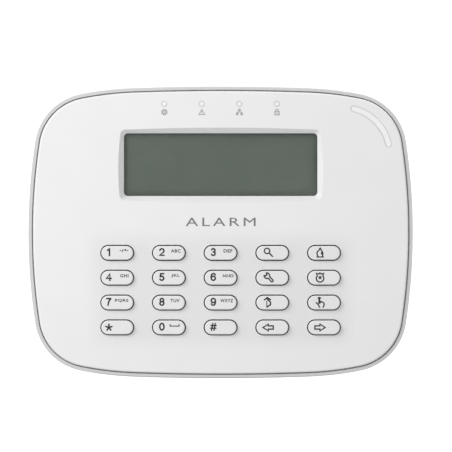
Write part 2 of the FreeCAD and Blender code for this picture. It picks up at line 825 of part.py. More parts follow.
def front_cover():
    well_wall, well_corner = 4.2, 3.0
    well_front_overlap, bore_floor = 1.0, 0.5
    behind_skirt = size("cover_rear_depth") - 2
    edges_in_front_of = 17.0
    block = common("cover_block",
                   prism("cover_outline", lambda s: draw_outline(s, COVER_OFFSET),
                         size("cover_rear_depth"), BEYOND_FACE),
                   dome("face_dome", size("face_depth")))
    rounded = round_front_edges("cover_rounded", block, size("cover_edge_round").value,
                                edges_in_front_of)
    cavity = common("cover_cavity",
                    prism("cavity_outline", lambda s: draw_outline(s, SKIRT_OFFSET),
                          behind_skirt, BEYOND_FACE),
                    dome("inner_dome", INNER_FACE))
    shell = cut("cover_shell", rounded, cavity)

    def well(sketch):
        width, height = size("window_width") + 2 * well_wall, size("window_height") + 2 * well_wall
        draw_rounded_rectangle(sketch, 0, WINDOW_Z, width, height, well_corner)

    boss_depth = BOARD_FRONT + GAP / 2
    inner_parts = fuse("cover_inner_parts", [
        prism("cover_bosses", draw_circles(CASE_SCREWS, size("cover_boss")), boss_depth, BEYOND_FACE),
        prism("key_guides", draw_key_stadiums(size("key_guide_wall")), size("key_guide_depth"),
              BEYOND_FACE),
        prism("window_well", well, size("window_depth"), BEYOND_FACE),
    ])
    trimmed = common("cover_inner_trimmed", inner_parts,
                     dome("middle_dome", INNER_FACE + well_front_overlap))
    solid = fuse("cover_solid", [shell, trimmed])

    def window(sketch):
        draw_rounded_rectangle(sketch, 0, WINDOW_Z, size("window_width"), size("window_height"),
                               size("window_corner"))

    arc_slot = size("arc_width") + 2 * size("light_fit")
    arc_groove = size("arc_width") + 2 * size("light_recess_margin")
    status_places = [(x, size("status_light_height")) for x in STATUS_LIGHTS]
    status_hole = size("status_light_diameter") + 2 * size("light_fit")
    status_groove = size("status_light_diameter") + 2 * size("light_recess_margin")
    tools = group("cover_openings", [
        prism("key_holes", draw_key_stadiums(0), behind_skirt, BEYOND_FACE),
        prism("window_opening", window, behind_skirt, size("window_depth") + GAP),
        bevel_tool(),
        prism("status_holes", draw_circles(status_places, status_hole), behind_skirt, BEYOND_FACE),
        light_recess("status_grooves", draw_circles(status_places, status_groove)),
        prism("arc_slot", lambda s: draw_arc_band(s, arc_slot), behind_skirt, BEYOND_FACE),
        light_recess("arc_groove", lambda s: draw_arc_band(s, arc_groove)),
        prism("boss_bores", draw_circles(CASE_SCREWS, size("case_screw_shank") + GAP),
              behind_skirt, CASE_SCREW_POINT + bore_floor),
    ])
    keep("front_cover", cut("front_cover", solid, tools))


# ---------------------------------------------------------------- keys

def key_mat():
    body = new_body("key_mat")
    side_margin, end_margin, corner, flange_play = 4.0, 3.0, 3.0, 1.0
    width = size("key_pitch_x") * 4 + size("key_hole_width") + 2 * side_margin
    height = size("key_pitch_z") * 3 + size("key_hole_height") + 2 * end_margin
    centre = size("top_row_height") - size("key_pitch_z") * 1.5

    def outline(sketch):
        draw_rounded_rectangle(sketch, 0, centre, width, height, corner)

    pad(body, "mat_sheet", outline, BOARD_FRONT, BOARD_FRONT + size("mat_thickness"))
    pocket(body, "mat_openings", draw_key_stadiums(flange_play), BOARD_FRONT,
           BOARD_FRONT + size("mat_thickness"))
    keep("key_mat", body)


def keys():
    pill_diameter, edges_in_front_of = 4.5, 18.0
    top = dome("key_dome", size("face_depth") + size("key_proud"))
    bottom = size("key_bottom_depth")
    width = size("key_hole_width") - 2 * size("key_side_gap")
    height = size("key_hole_height") - 2 * size("key_side_gap")
    flange = size("key_flange")
    for name, x, z in key_places():
        column = prism(f"{name}_column", lambda s: draw_stadium(s, x, z, width, height), bottom,
                       BEYOND_FACE)
        trimmed = common(f"{name}_trimmed", column, top)
        rounded = round_front_edges(f"{name}_rounded", trimmed, size("key_edge_round").value,
                                    edges_in_front_of)
        foot = prism(f"{name}_foot",
                     lambda s: draw_stadium(s, x, z, width + 2 * flange, height + 2 * flange),
                     bottom, bottom + size("key_flange_thickness"))
        rubber = fuse(f"{name}_rubber", [rounded, foot])
        pill = cylinder(f"{name}_pill", pill_diameter, bottom - size("pill_thickness"),
                        size("pill_thickness"), x, z)
        keep(name, group(name, [rubber, pill]))


def key_contacts():
    """Two half pads per key that the carbon pill bridges."""
    pad_width, pad_height, pad_thickness, off_centre = 2.0, 4.2, 0.05, 1.3

    def draw(sketch):
        for _, x, z in key_places():
            for side in (-1, 1):
                draw_rectangle(sketch, x + side * off_centre, z, pad_width, pad_height)
    keep("key_contacts", prism("key_contacts", draw, BOARD_FRONT, BOARD_FRONT + pad_thickness))


def key_leds():
    """One low lamp beside each key's contact pads."""
    lamp_width, lamp_height, lamp_thickness, off_centre = 0.8, 1.6, 0.4, 4.6

    def draw(sketch):
        for _, x, z in key_places():
            draw_rectangle(sketch, x + off_centre, z, lamp_width, lamp_height)
    keep("key_leds", prism("key_leds", draw, BOARD_FRONT, BOARD_FRONT + lamp_thickness))


# ---------------------------------------------------------------- lights

def status_lights():
    """Four light pipes on one bridge, and the four lamps on the board behind them."""
    height = size("status_light_height")
    lamp_width, lamp_height, lamp_thickness, lamp_gap = 1.6, 0.8, 0.7, 0.2
    bridge_height, bridge_back, bridge_front, overhang = 1.6, 3.0, 4.2, 1.5
    head_proud = 0.1
    places = [(x, height) for x in STATUS_LIGHTS]
    back = BOARD_FRONT + lamp_thickness + lamp_gap
    pipes = prism("status_pipes", draw_circles(places, size("status_light_diameter")), back,
                  BEYOND_FACE)
    trimmed = common("status_pipes_trimmed", pipes, dome("pipe_dome", size("face_depth") + head_proud))
    span = STATUS_LIGHTS[-1] - STATUS_LIGHTS[0]
    bridge = box("status_bridge", 0, height, span + 2 * overhang, bridge_height,
                 BOARD_FRONT + bridge_back, BOARD_FRONT + bridge_front)
    keep("status_light_pipes", fuse("status_light_pipes", [trimmed, bridge]))
    lamps = [box(f"status_led_{n}", x, height, lamp_width, lamp_height, BOARD_FRONT,
                 BOARD_FRONT + lamp_thickness) for n, (x, _) in enumerate(places)]
    keep("status_leds", group("status_leds", lamps))


def arc_light():
    """The curved light guide beside the window, and three lamps behind it."""
    lamp_width, lamp_height, lamp_thickness, lamp_gap = 3.0, 1.4, 0.9, 0.3
    back = BOARD_FRONT + lamp_thickness + lamp_gap
    guide = prism("arc_guide_column", lambda s: draw_arc_band(s, size("arc_width")), back, BEYOND_FACE)
    trimmed = common("arc_light_guide", guide, dome("arc_dome", size("face_depth")))
    keep("arc_light_guide", trimmed)
    lamps = []
    for number, degrees in enumerate(ARC_LIGHT_ANGLES):
        turn = math.radians(degrees)
        x = size("arc_centre_x") + size("arc_radius") * math.cos(turn)
        z = size("arc_centre_z") + size("arc_radius") * math.sin(turn)
        lamps.append(box(f"arc_led_{number}", x, z, lamp_width, lamp_height, BOARD_FRONT,
                         BOARD_FRONT + lamp_thickness))
    keep("arc_leds", group("arc_leds", lamps))


# ---------------------------------------------------------------- display

LENS_FRONT = size("window_depth") - size("tape_thickness")
LENS_BACK = LENS_FRONT - size("lens_thickness")
MODULE_BACK = BOARD_FRONT + 0.3
MODULE_FRONT = MODULE_BACK + 1.0
BACKLIGHT_FRONT = MODULE_FRONT + 1.2
SHEET_GLASS = 0.8
GLASS_FRONT = BACKLIGHT_FRONT + 2 * SHEET_GLASS
PIN_COUNT, PIN_PITCH, PIN_ABOVE_CENTRE = 16, 2.54, 16.4
PIN_PLACES = [(PIN_PITCH * (number - (PIN_COUNT - 1) / 2), WINDOW_Z + PIN_ABOVE_CENTRE)
              for number in range(PIN_COUNT)]
PIN_HOLE = 1.0


def window_frame(width, height, corner):
    """A drawing of a rounded rectangle centred on the display window."""
    return lambda sketch: draw_rounded_rectangle(sketch, 0, WINDOW_Z, width, height, corner)


def both(first, second):
    """A drawing of an outline with a hole in it."""
    def draw(sketch):
        first(sketch)
        second(sketch)
    return draw


def lens_and_tape():
    lens_margin, lens_corner, tape_opening_margin, tape_corner = 3.7, 2.0, 0.8, 1.5
    width, height = size("window_width"), size("window_height")
    outline = window_frame(width + 2 * lens_margin, height + 2 * lens_margin, lens_corner)
    lens = new_body("display_lens")
    pad(lens, "lens_sheet", outline, LENS_BACK, LENS_FRONT)
    keep("display_lens", lens)
    opening = window_frame(width + 2 * tape_opening_margin, height + 2 * tape_opening_margin, tape_corner)
    tape = new_body("lens_tape")
    pad(tape, "tape_frame", both(outline, opening), LENS_FRONT, size("window_depth"))
    keep("lens_tape", tape)


def display_module():
    """Module board, backlight panel, two-sheet glass, bezel and the row of pins."""
    board_width, board_height = 94.0, 36.0
    panel_width, panel_height = 88.6, 29.4
    glass_width, rear_glass_height, front_glass_height, ledge = 88.6, 30.0, 28.8, 0.6
    bezel_width, bezel_height, bezel_sheet = 90.0, 31.4, 0.4
    view_width, view_height, lip_thickness = 85.0, 28.2, 0.3
    board_corner, sheet_corner = 1.0, 0.6
    pin_side, pin_tail, pin_head = 0.6, 0.8, 0.9

    board = new_body("lcd_board")
    pad(board, "lcd_board_sheet", window_frame(board_width, board_height, board_corner), MODULE_BACK,
        MODULE_FRONT)
    pocket(board, "lcd_board_pin_holes", draw_circles(PIN_PLACES, PIN_HOLE), MODULE_BACK, MODULE_FRONT)
    keep("lcd_board", board)

    light = new_body("lcd_backlight")
    pad(light, "backlight_panel", window_frame(panel_width, panel_height, sheet_corner), MODULE_FRONT,
        BACKLIGHT_FRONT)
    keep("lcd_backlight", light)

    glass = new_body("lcd_glass")
    pad(glass, "lcd_rear_glass",
        lambda s: draw_rectangle(s, 0, WINDOW_Z, glass_width, rear_glass_height),
        BACKLIGHT_FRONT, BACKLIGHT_FRONT + SHEET_GLASS)
    pad(glass, "lcd_front_glass",
        lambda s: draw_rectangle(s, 0, WINDOW_Z + ledge, glass_width, front_glass_height),
        BACKLIGHT_FRONT + SHEET_GLASS, GLASS_FRONT)
    keep("lcd_glass", glass)

    bezel = new_body("lcd_bezel")
    outline = window_frame(bezel_width, bezel_height, board_corner)
    inside = window_frame(bezel_width - 2 * bezel_sheet, bezel_height - 2 * bezel_sheet, sheet_corner)
    view = window_frame(view_width, view_height, sheet_corner)
    pad(bezel, "bezel_walls", both(outline, inside), MODULE_FRONT, GLASS_FRONT)
    pad(bezel, "bezel_lip", both(outline, view), GLASS_FRONT, GLASS_FRONT + lip_thickness)
    keep("lcd_bezel", bezel)

    rods = [box(f"lcd_pin_{n}", x, z, pin_side, pin_side, BOARD_BACK - pin_tail, MODULE_FRONT + pin_head)
            for n, (x, z) in enumerate(PIN_PLACES)]
    keep("lcd_pins", group("lcd_pins", rods))


# ---------------------------------------------------------------- board and what it carries

def main_board():
    hole_play = 0.3
    body = new_body("main_board")
    pad(body, "board_sheet", lambda s: draw_outline(s, -size("board_inset")), BOARD_BACK, BOARD_FRONT)
    pocket(body, "case_screw_holes", draw_circles(CASE_SCREWS, size("case_screw_clearance")),
           BOARD_BACK, BOARD_FRONT)
    pocket(body, "board_screw_holes", draw_circles(BOARD_SCREWS, size("board_screw_shank") + hole_play),
           BOARD_BACK, BOARD_FRONT)
    pocket(body, "board_pin_holes", draw_circles(PIN_PLACES, PIN_HOLE), BOARD_BACK, BOARD_FRONT)
    keep("main_board", body)


def screw(name, x, z, head, shank, under_head, head_height, point):
    """One pan-head screw with a cross recess; its head lies behind or in front of the depth under_head."""
    recess_share, recess_width, recess_depth = 0.62, 0.6, 0.9
    facing_front = as_size(point).value < as_size(under_head).value
    if facing_front:
        head_start, shank_start = as_size(under_head), as_size(point)
        shank_length = as_size(under_head) - point
        recess_start = head_start + head_height - recess_depth
    else:
        head_start, shank_start = as_size(under_head) - head_height, as_size(under_head)
        shank_length = as_size(point) - under_head
        recess_start = head_start - recess_depth
    recess_end = recess_start + 2 * recess_depth
    top = cylinder(f"{name}_head", head, head_start, head_height, x, z)
    rod = cylinder(f"{name}_shank", shank, shank_start, shank_length, x, z)
    blank = fuse(f"{name}_blank", [top, rod])
    long_side = head * recess_share
    across = box(f"{name}_across", x, z, long_side, recess_width, recess_start, recess_end)
    upright = box(f"{name}_upright", x, z, recess_width, long_side, recess_start, recess_end)
    return cut(name, blank, fuse(f"{name}_cross", [across, upright]))


def case_and_board_screws():
    case_head_height, board_head_height, board_screw_reach = 1.8, 1.4, 3.5
    case_set = [screw(f"case_screw_{n}", x, z, size("case_screw_head"), size("case_screw_shank"),
                      CASE_SCREW_SEAT, case_head_height, CASE_SCREW_POINT)
                for n, (x, z) in enumerate(CASE_SCREWS)]
    keep("case_screws", group("case_screws", case_set))
    board_set = [screw(f"board_screw_{n}", x, z, size("board_screw_head"), size("board_screw_shank"),
                       BOARD_FRONT, board_head_height, size("floor_depth") + board_screw_reach)
                 for n, (x, z) in enumerate(BOARD_SCREWS)]
    keep("board_screws", group("board_screws", board_set))


def chip(name, x, z, width, height, thickness, four_sided, leads, pitch):
    """A moulded package on the back of the board with flat leads along its sides."""
    stand_off, lead_length, lead_thickness, lead_share = 0.1, 1.0, 0.6, 0.45
    front = BOARD_BACK - stand_off
    lead_back = BOARD_BACK - lead_thickness
    lead_width = pitch * lead_share
    pieces = [box(f"{name}_package", x, z, width, height, front - thickness, front)]
    for number in range(leads):
        slide = (number - (leads - 1) / 2) * pitch
        for side in (-1, 1):
            reach = side * (height + lead_length) / 2
            pieces.append(box(f"{name}_lead_{side + 1}_{number}", x + slide, z + reach, lead_width,
                              lead_length, lead_back, BOARD_BACK))
            if four_sided:
                reach = side * (width + lead_length) / 2
                pieces.append(box(f"{name}_side_{side + 1}_{number}", x + reach, z + slide,
                                  lead_length, lead_width, lead_back, BOARD_BACK))
    keep(name, group(name, pieces))


def regulator():
    x, z = -28.0, 12.0
    width, height, thickness, stand_off = 6.6, 6.1, 2.2, 0.1
    tab_width, tab_length, lead_width, lead_length, lead_side, sheet_metal = 5.4, 1.3, 0.8, 2.7, 2.3, 0.6
    front, back = BOARD_BACK - stand_off, BOARD_BACK - sheet_metal
    pieces = [
        box("regulator_package", x, z, width, height, front - thickness, front),
        box("regulator_tab", x, z + (height + tab_length) / 2, tab_width, tab_length, back, BOARD_BACK),
    ]
    for side in (-1, 1):
        lead_z = z - (height + lead_length) / 2
        pieces.append(box(f"regulator_lead_{side + 1}", x + side * lead_side, lead_z, lead_width,
                          lead_length, back, BOARD_BACK))
    keep("regulator", group("regulator", pieces))


def capacitors():
    z, base_side, base_thickness, can_diameter, can_height = 27.0, 6.6, 0.8, 6.3, 3.6
    base_back = BOARD_BACK - base_thickness
    cans = []
    for number, x in enumerate((-34.0, -25.0)):
        base = box(f"capacitor_base_{number}", x, z, base_side, base_side, base_back, BOARD_BACK)
        can = cylinder(f"capacitor_can_{number}", can_diameter, base_back - can_height, can_height, x, z)
        cans.append(fuse(f"capacitor_{number}", [base, can]))
    keep("capacitors", group("capacitors", cans))


def crystal():
    x, z = 24.0, -27.0
    can_length, can_width, tall = 11.0, 4.7, 3.2
    foot_length, foot_width, foot = 11.4, 4.9, 0.4
    body = new_body("crystal")
    pad(body, "crystal_can", lambda s: draw_stadium(s, x, z, can_length, can_width),
        BOARD_BACK - tall, BOARD_BACK - foot)
    pad(body, "crystal_foot", lambda s: draw_rectangle(s, x, z, foot_length, foot_width),
        BOARD_BACK - foot, BOARD_BACK)
    keep("crystal", body)


def buzzer():
    x, z, diameter, port, tall, port_depth = -4.0, -34.0, 12.0, 2.2, 4.5, 1.0
    back = BOARD_BACK - tall
    body = new_body("buzzer")
    pad(body, "buzzer_case", lambda s: draw_circle(s, x, z, diameter), back, BOARD_BACK)
    pocket(body, "buzzer_port", lambda s: draw_circle(s, x, z, port), back, back + port_depth)
    keep("buzzer", body)


def bus_fuse():
    x, z, height = 16.0, 26.0, 3.2
    core_length, core_thickness, whole_length, end_thickness = 3.0, 1.0, 4.6, 0.8
    body = new_body("bus_fuse")
    pad(body, "fuse_core", lambda s: draw_rectangle(s, x, z, core_length, height),
        BOARD_BACK - core_thickness, BOARD_BACK)
    pad(body, "fuse_ends", lambda s: draw_rectangle(s, x, z, whole_length, height),
        BOARD_BACK - end_thickness, BOARD_BACK)
    keep("bus_fuse", body)


def board_passives():
    """Small two-ended chip parts in a block near the top and a row near the control chip."""
    length, width, thickness = 2.0, 1.25, 0.7
    pitch_x, pitch_z = 2.6, 2.4
    block_x, block_z, block_rows, block_columns = 10.0, 36.0, 3, 6
    row_x, row_z, row_count = 38.0, -12.0, 5
    back = BOARD_BACK - thickness
    pieces = []
    for row in range(block_rows):
        for column in range(block_columns):
            x, z = block_x + pitch_x * column, block_z + pitch_z * row
            pieces.append(box(f"passive_{row}_{column}", x, z, length, width, back, BOARD_BACK))
    for column in range(row_count):
        x = row_x + pitch_x * column
        pieces.append(box(f"passive_low_{column}", x, row_z, width, length, back, BOARD_BACK))
    keep("board_passives", group("board_passives", pieces))


def terminals():
    """Four screw terminals on the back of the board, facing the cable opening."""
    z, tall = size("terminal_height"), size("terminal_body_height")
    low = z - tall / 2
    back = size("terminal_depth")
    end_walls, cage_gap = 0.6, 0.1
    width = size("terminal_pitch") * len(TERMINALS) + end_walls
    well, well_depth, entry_width, entry_height, end_wall = 2.9, 2.2, 2.9, 3.4, 1.2
    head, head_height, head_sunk, slot_width, slot_depth = 2.6, 1.4, 0.6, 0.5, 0.6
    cage_width, cage_length, cage_height, cage_wall = 2.7, 3.6, 3.2, 0.4
    cage_back = back + well_depth + cage_gap
    block = new_body("terminal_block")
    pad(block, "terminal_body", lambda s: draw_rectangle(s, 0, z, width, tall), back, BOARD_BACK)
    pocket(block, "screw_wells", draw_circles([(x, z) for x in TERMINALS], well), back,
           back + well_depth)

    def wire_entries(sketch):
        for x in TERMINALS:
            draw_rectangle(sketch, x, -(back + well_depth + entry_height / 2), entry_width, entry_height)

    pocket(block, "wire_entries", wire_entries, low, low + tall - end_wall, "XY_Plane")
    keep("terminal_block", block)

    heads, clamps = [], []
    for number, x in enumerate(TERMINALS):
        blank = cylinder(f"terminal_head_{number}", head, back + head_sunk, head_height, x, z)
        slot = box(f"terminal_slot_{number}", x, z, 2 * head, slot_width, back,
                   back + head_sunk + slot_depth)
        heads.append(cut(f"terminal_screw_{number}", blank, slot))
        cage = box(f"clamp_cage_{number}", x, z, cage_width, cage_length, cage_back,
                   cage_back + cage_height)
        hole = box(f"clamp_hole_{number}", x, z, cage_width - 2 * cage_wall, 2 * cage_length,
                   cage_back + cage_wall, cage_back + cage_height - cage_wall)
        clamps.append(cut(f"terminal_clamp_{number}", cage, hole))
    keep("terminal_screws", group("terminal_screws", heads))
    keep("terminal_clamps", group("terminal_clamps", clamps))


def tamper():
    """A small switch on the back of the board; its plunger rests against the wall plate."""
    x, z = size("tamper_x"), size("tamper_z")
    switch_side, switch_height, bore_floor = 6.2, 4.0, 0.5
    bore, stem, cap, cap_height, stem_inside = 2.0, 1.6, 4.4, 0.9, 1.6
    case_back = BOARD_BACK - switch_height
    tip = size("plate_thickness") + size("plunger_tip_gap")
    cap_front = tip + cap_height
    switch = new_body("tamper_switch")
    pad(switch, "switch_case", lambda s: draw_rectangle(s, x, z, switch_side, switch_side), case_back,
        BOARD_BACK)
    pocket(switch, "switch_bore", lambda s: draw_circle(s, x, z, bore), case_back,
           BOARD_BACK - bore_floor)
    keep("tamper_switch", switch)

    plunger = new_body("tamper_plunger")
    pad(plunger, "plunger_cap", lambda s: draw_circle(s, x, z, cap), tip, cap_front)
    pad(plunger, "plunger_stem", lambda s: draw_circle(s, x, z, stem), cap_front,
        case_back + stem_inside)
    keep("tamper_plunger", plunger)

    wire, coil, turns, end_gap, wire_sides = 0.3, 1.45, 4, 0.02, 12
    start = (cap_front + wire / 2 + end_gap).value
    length = (case_back - wire / 2 - end_gap).value - start
    helix = Part.makeHelix(length / turns, length, coil)
    # the wire's section is a twelve-sided polygon, near enough round at this size
    angles = [2 * math.pi * side / wire_sides for side in range(wire_sides + 1)]
    ring = Part.makePolygon([Vector(coil + wire / 2 * math.cos(a), 0, wire / 2 * math.sin(a))
                             for a in angles])
    spring = doc.addObject("Part::Feature", "tamper_spring")
    spring.Shape = Part.Wire(helix.Edges).makePipeShell([ring], True, True)
    spring.Placement = Placement(Vector(x.value, -start, z.value), FACING)
    keep("tamper_spring", spring)


# ---------------------------------------------------------------- build and export

wall_plate()
lock_screw()
rear_housing()
front_cover()
key_mat()
keys()
key_contacts()
key_leds()
status_lights()
arc_light()
lens_and_tape()
display_module()
main_board()
case_and_board_screws()
chip("control_chip", x=24.0, z=-14.0, width=10.0, height=10.0, thickness=1.4, four_sided=True,
     leads=11, pitch=0.8)
chip("bus_driver", x=26.0, z=12.0, width=5.0, height=4.0, thickness=1.5, four_sided=False, leads=4,
     pitch=1.27)
regulator()
capacitors()
crystal()
buzzer()
bus_fuse()
board_passives()
terminals()
tamper()
doc.recompute()

for item in doc.Objects:
    if "Invalid" in item.State or "Error" in item.State:
        raise RuntimeError(f"{item.Label} did not rebuild: {item.State}")
for label, item in nodes.items():
    shape = item.Shape
    if shape.isNull() or not shape.isValid() or not shape.Solids:
        raise RuntimeError(f"{label} has no valid solid")
    shape.exportStep(f"parts/{label}.step")
    print(label, len(shape.Solids), round(shape.Volume, 2))
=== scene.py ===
import bpy
import json
import math
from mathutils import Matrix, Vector, geometry


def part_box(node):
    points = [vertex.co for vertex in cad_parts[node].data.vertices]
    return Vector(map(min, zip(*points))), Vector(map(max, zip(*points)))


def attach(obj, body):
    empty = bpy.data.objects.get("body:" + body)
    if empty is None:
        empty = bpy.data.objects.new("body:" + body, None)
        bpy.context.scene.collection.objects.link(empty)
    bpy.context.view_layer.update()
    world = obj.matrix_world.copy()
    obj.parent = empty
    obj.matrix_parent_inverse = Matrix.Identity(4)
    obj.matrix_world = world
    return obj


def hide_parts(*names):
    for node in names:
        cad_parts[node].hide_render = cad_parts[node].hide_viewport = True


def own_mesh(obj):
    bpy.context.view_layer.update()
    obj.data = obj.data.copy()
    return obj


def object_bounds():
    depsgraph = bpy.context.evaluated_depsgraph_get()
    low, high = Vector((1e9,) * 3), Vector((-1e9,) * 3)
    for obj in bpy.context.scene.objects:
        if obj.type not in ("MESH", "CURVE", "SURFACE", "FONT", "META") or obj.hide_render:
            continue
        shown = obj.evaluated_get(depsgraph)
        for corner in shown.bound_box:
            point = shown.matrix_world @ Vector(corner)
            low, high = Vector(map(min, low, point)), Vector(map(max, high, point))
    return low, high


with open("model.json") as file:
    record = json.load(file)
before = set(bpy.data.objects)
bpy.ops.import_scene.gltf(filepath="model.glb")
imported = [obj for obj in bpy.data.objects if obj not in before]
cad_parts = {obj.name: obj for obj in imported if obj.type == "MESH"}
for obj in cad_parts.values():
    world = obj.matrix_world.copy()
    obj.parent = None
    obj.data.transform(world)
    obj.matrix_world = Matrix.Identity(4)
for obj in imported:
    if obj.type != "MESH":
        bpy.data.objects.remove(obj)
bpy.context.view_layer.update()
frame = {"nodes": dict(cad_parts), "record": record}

MM = 0.001
NODES = frame["nodes"]
SLOT_OF_NODE = {part["node"]: part["material_slot"] for part in frame["record"]["subparts"]}
SLOTS = {material["slot"]: material for material in frame["record"]["materials"]}


# ---------------------------------------------------------------- colours and finishes
# Lengths are in millimetres, and noise is counted in cycles per millimetre.

SHELL_WHITE = (0.86, 0.86, 0.86)
# The housing is the cover's white plastic, given a darker colour as painted shade on its side walls.
HOUSING_SHADED_WHITE = (0.64, 0.64, 0.64)
KEY_WHITE = (0.815, 0.815, 0.815)
GUIDE_WHITE = (0.93, 0.93, 0.93)
LENS_TINT = (0.97, 0.98, 0.97)
DISPLAY_DARK = (0.1375, 0.177, 0.146)
DISPLAY_LIGHT = (0.1485, 0.189, 0.157)
PRINT_DARK = (0.016, 0.016, 0.016)
PRINT_GREY = (0.035, 0.035, 0.035)
PRINT_PALE = (0.40, 0.40, 0.40)
PRINT_WORD = (0.20, 0.20, 0.20)

METALS = ("brushed_steel", "brass", "aluminium")
ROUGHNESS = {"painted_metal": 0.4, "brushed_steel": 0.35, "brass": 0.3, "aluminium": 0.35}
PLAIN_ROUGHNESS = 0.5
ROUGHNESS_SPREAD = 0.06
DISPLAY_ROUGHNESS = (0.30, 0.42)
SMOOTHEST = 0.6
ROUGHEST = 1.6
LENS_INDEX = 1.35

GRAIN_DEPTH = 0.004
SCRATCH_DEPTH = 0.0005
DISPLAY_GRAIN_DEPTH = 0.002
SOFT_EDGE = 0.15
EDGE_TURN = (0.98, 0.75)
WEAR_SHARE = 0.5

BROAD_NOISE = 0.05
MIDDLE_NOISE = 0.6
HAZE_NOISE = 0.2
SCRATCH_NOISE = 4.0
DISPLAY_BROAD_NOISE = 0.03
DISPLAY_FINE_NOISE = 8.0
USUAL_NOISE = (0.3, 0.7)

# The painted shade at the display's edges and round the keys, how far it is set in and over what width it
# fades.
DISPLAY_EDGE_PAINTED_SHADE = 0.72
DISPLAY_INSET = 6.7
DISPLAY_FADE = 3.2
KEY_ZONE_PAINTED_SHADE = 0.92
KEY_ZONE_SHADE_INSET = 2.5
KEY_ZONE_SHADE_FADE = 10.0
# How far the painted shade in the cover's grooves looks for occlusion, and how much of it is mixed in.
GROOVE_SHADE_REACH = 0.5
GROOVE_SHADE_SHARE = 0.35


# ---------------------------------------------------------------- shader graphs

# The colour sockets of a mix node, which has number sockets of the same names.
MIX_FIRST = 6
MIX_SECOND = 7
MIX_RESULT = 2


def new_graph(name):
    """A new material and its empty shader graph."""
    material = bpy.data.materials.new(name)
    material.use_nodes = True
    graph = material.node_tree
    graph.nodes.clear()
    return material, graph


def feed(graph, value, socket):
    """Link a socket to another one, or set it to a plain value."""
    if isinstance(value, bpy.types.NodeSocket):
        graph.links.new(value, socket)
    else:
        socket.default_value = value


def add(graph, kind, **settings):
    """Add a shader node; names that match an input feed it, and the others are properties."""
    node = graph.nodes.new(kind)
    for key, value in settings.items():
        socket = next((s for s in node.inputs if s.name == key and s.enabled), None)
        if socket is None:
            setattr(node, key, value)
        else:
            feed(graph, value, socket)
    return node


def out(node, name=None):
    """The first output in use, or the one with the given name."""
    return next(s for s in node.outputs if s.enabled and name in (None, s.name))


def rgba(colour):
    """A plain colour with full cover; a socket stays as it is."""
    return colour if isinstance(colour, bpy.types.NodeSocket) else (*colour, 1.0)


def maths(graph, operation, first, second, **settings):
    """The result of an operation on two numbers."""
    node = add(graph, "ShaderNodeMath", operation=operation, **settings)
    feed(graph, first, node.inputs[0])
    feed(graph, second, node.inputs[1])
    return out(node)


def dot_product(graph, first, second):
    node = add(graph, "ShaderNodeVectorMath", operation="DOT_PRODUCT")
    feed(graph, first, node.inputs[0])
    feed(graph, second, node.inputs[1])
    return node.outputs["Value"]


def map_range(graph, value, source, target=(0.0, 1.0), **settings):
    """Map the source range of a value onto the target range."""
    node = add(graph, "ShaderNodeMapRange", Value=value, **settings)
    names = ("From Min", "From Max", "To Min", "To Max")
    for name, limit in zip(names, (*source, *target)):
        node.inputs[name].default_value = limit
    return out(node)


def mix_colour(graph, share, first, second):
    """The first colour, turning into the second as the share goes from 0 to 1."""
    node = add(graph, "ShaderNodeMix", data_type="RGBA")
    feed(graph, share, node.inputs["Factor"])
    feed(graph, rgba(first), node.inputs[MIX_FIRST])
    feed(graph, rgba(second), node.inputs[MIX_SECOND])
    return node.outputs[MIX_RESULT]


def mix_shaders(graph, share, first, second):
    node = add(graph, "ShaderNodeMixShader")
    for value, socket in zip((share, out(first), out(second)), node.inputs):
        graph.links.new(value, socket)
    return node


def bump(graph, height, depth, strength=1.0, **settings):
    """The surface normal over a relief of the given depth in millimetres."""
    node = add(graph, "ShaderNodeBump", Strength=strength, Distance=depth * MM, Height=height, **settings)
    return out(node)


def principled(graph, colour, roughness, normal, **settings):
    shader = add(graph, "ShaderNodeBsdfPrincipled", Roughness=roughness, Normal=normal, **settings)
    feed(graph, rgba(colour), shader.inputs["Base Color"])
    return shader


def millimetre_space(graph):
    """Object coordinates counted in millimetres."""
    place = add(graph, "ShaderNodeTexCoord")
    scaled = add(graph, "ShaderNodeVectorMath", operation="SCALE")
    graph.links.new(out(place, "Object"), scaled.inputs[0])
    scaled.inputs["Scale"].default_value = 1 / MM
    return out(scaled)


def noise(graph, space, cycles_per_mm, detail=3.0):
    texture = add(graph, "ShaderNodeTexNoise", Vector=space, Scale=cycles_per_mm, Detail=detail)
    return out(texture, "Fac")


def stretch(graph, value, low, high):
    """Spread the usual range of a noise value over low to high."""
    return map_range(graph, value, USUAL_NOISE, (low, high))


def edge_mask(graph, radius):
    """1 on sharp edges within the radius and 0 on flat ground, with the normal that rounds the edges."""
    bevel = add(graph, "ShaderNodeBevel", samples=4, Radius=radius)
    shape = add(graph, "ShaderNodeNewGeometry")
    turn = dot_product(graph, out(bevel), out(shape, "Normal"))
    return map_range(graph, turn, EDGE_TURN), out(bevel)


def soft_band(graph, value, half_reach, fade):
    """1 while the value is within half_reach of nought, fading to 0 over the fade."""
    size = add(graph, "ShaderNodeMath", operation="ABSOLUTE", Value=value)
    return map_range(graph, out(size), (half_reach + fade, half_reach), interpolation_type="SMOOTHSTEP")


def box_mask(graph, space, low, high, inset, fade):
    """1 in front of an upright box, set in from its corners low and high, with soft sides."""
    half = (high - low) / 2 / MM
    shifted = add(graph, "ShaderNodeVectorMath", operation="SUBTRACT")
    graph.links.new(space, shifted.inputs[0])
    shifted.inputs[1].default_value = (low + high) / 2 / MM
    place = add(graph, "ShaderNodeSeparateXYZ", Vector=out(shifted))
    across = soft_band(graph, out(place, "X"), half.x - inset, fade)
    upward = soft_band(graph, out(place, "Z"), half.z - inset, fade)
    return maths(graph, "MULTIPLY", across, upward)


# ---------------------------------------------------------------- materials

def shade(colour, factor):
    return tuple(min(1.0, channel * factor) for channel in colour)


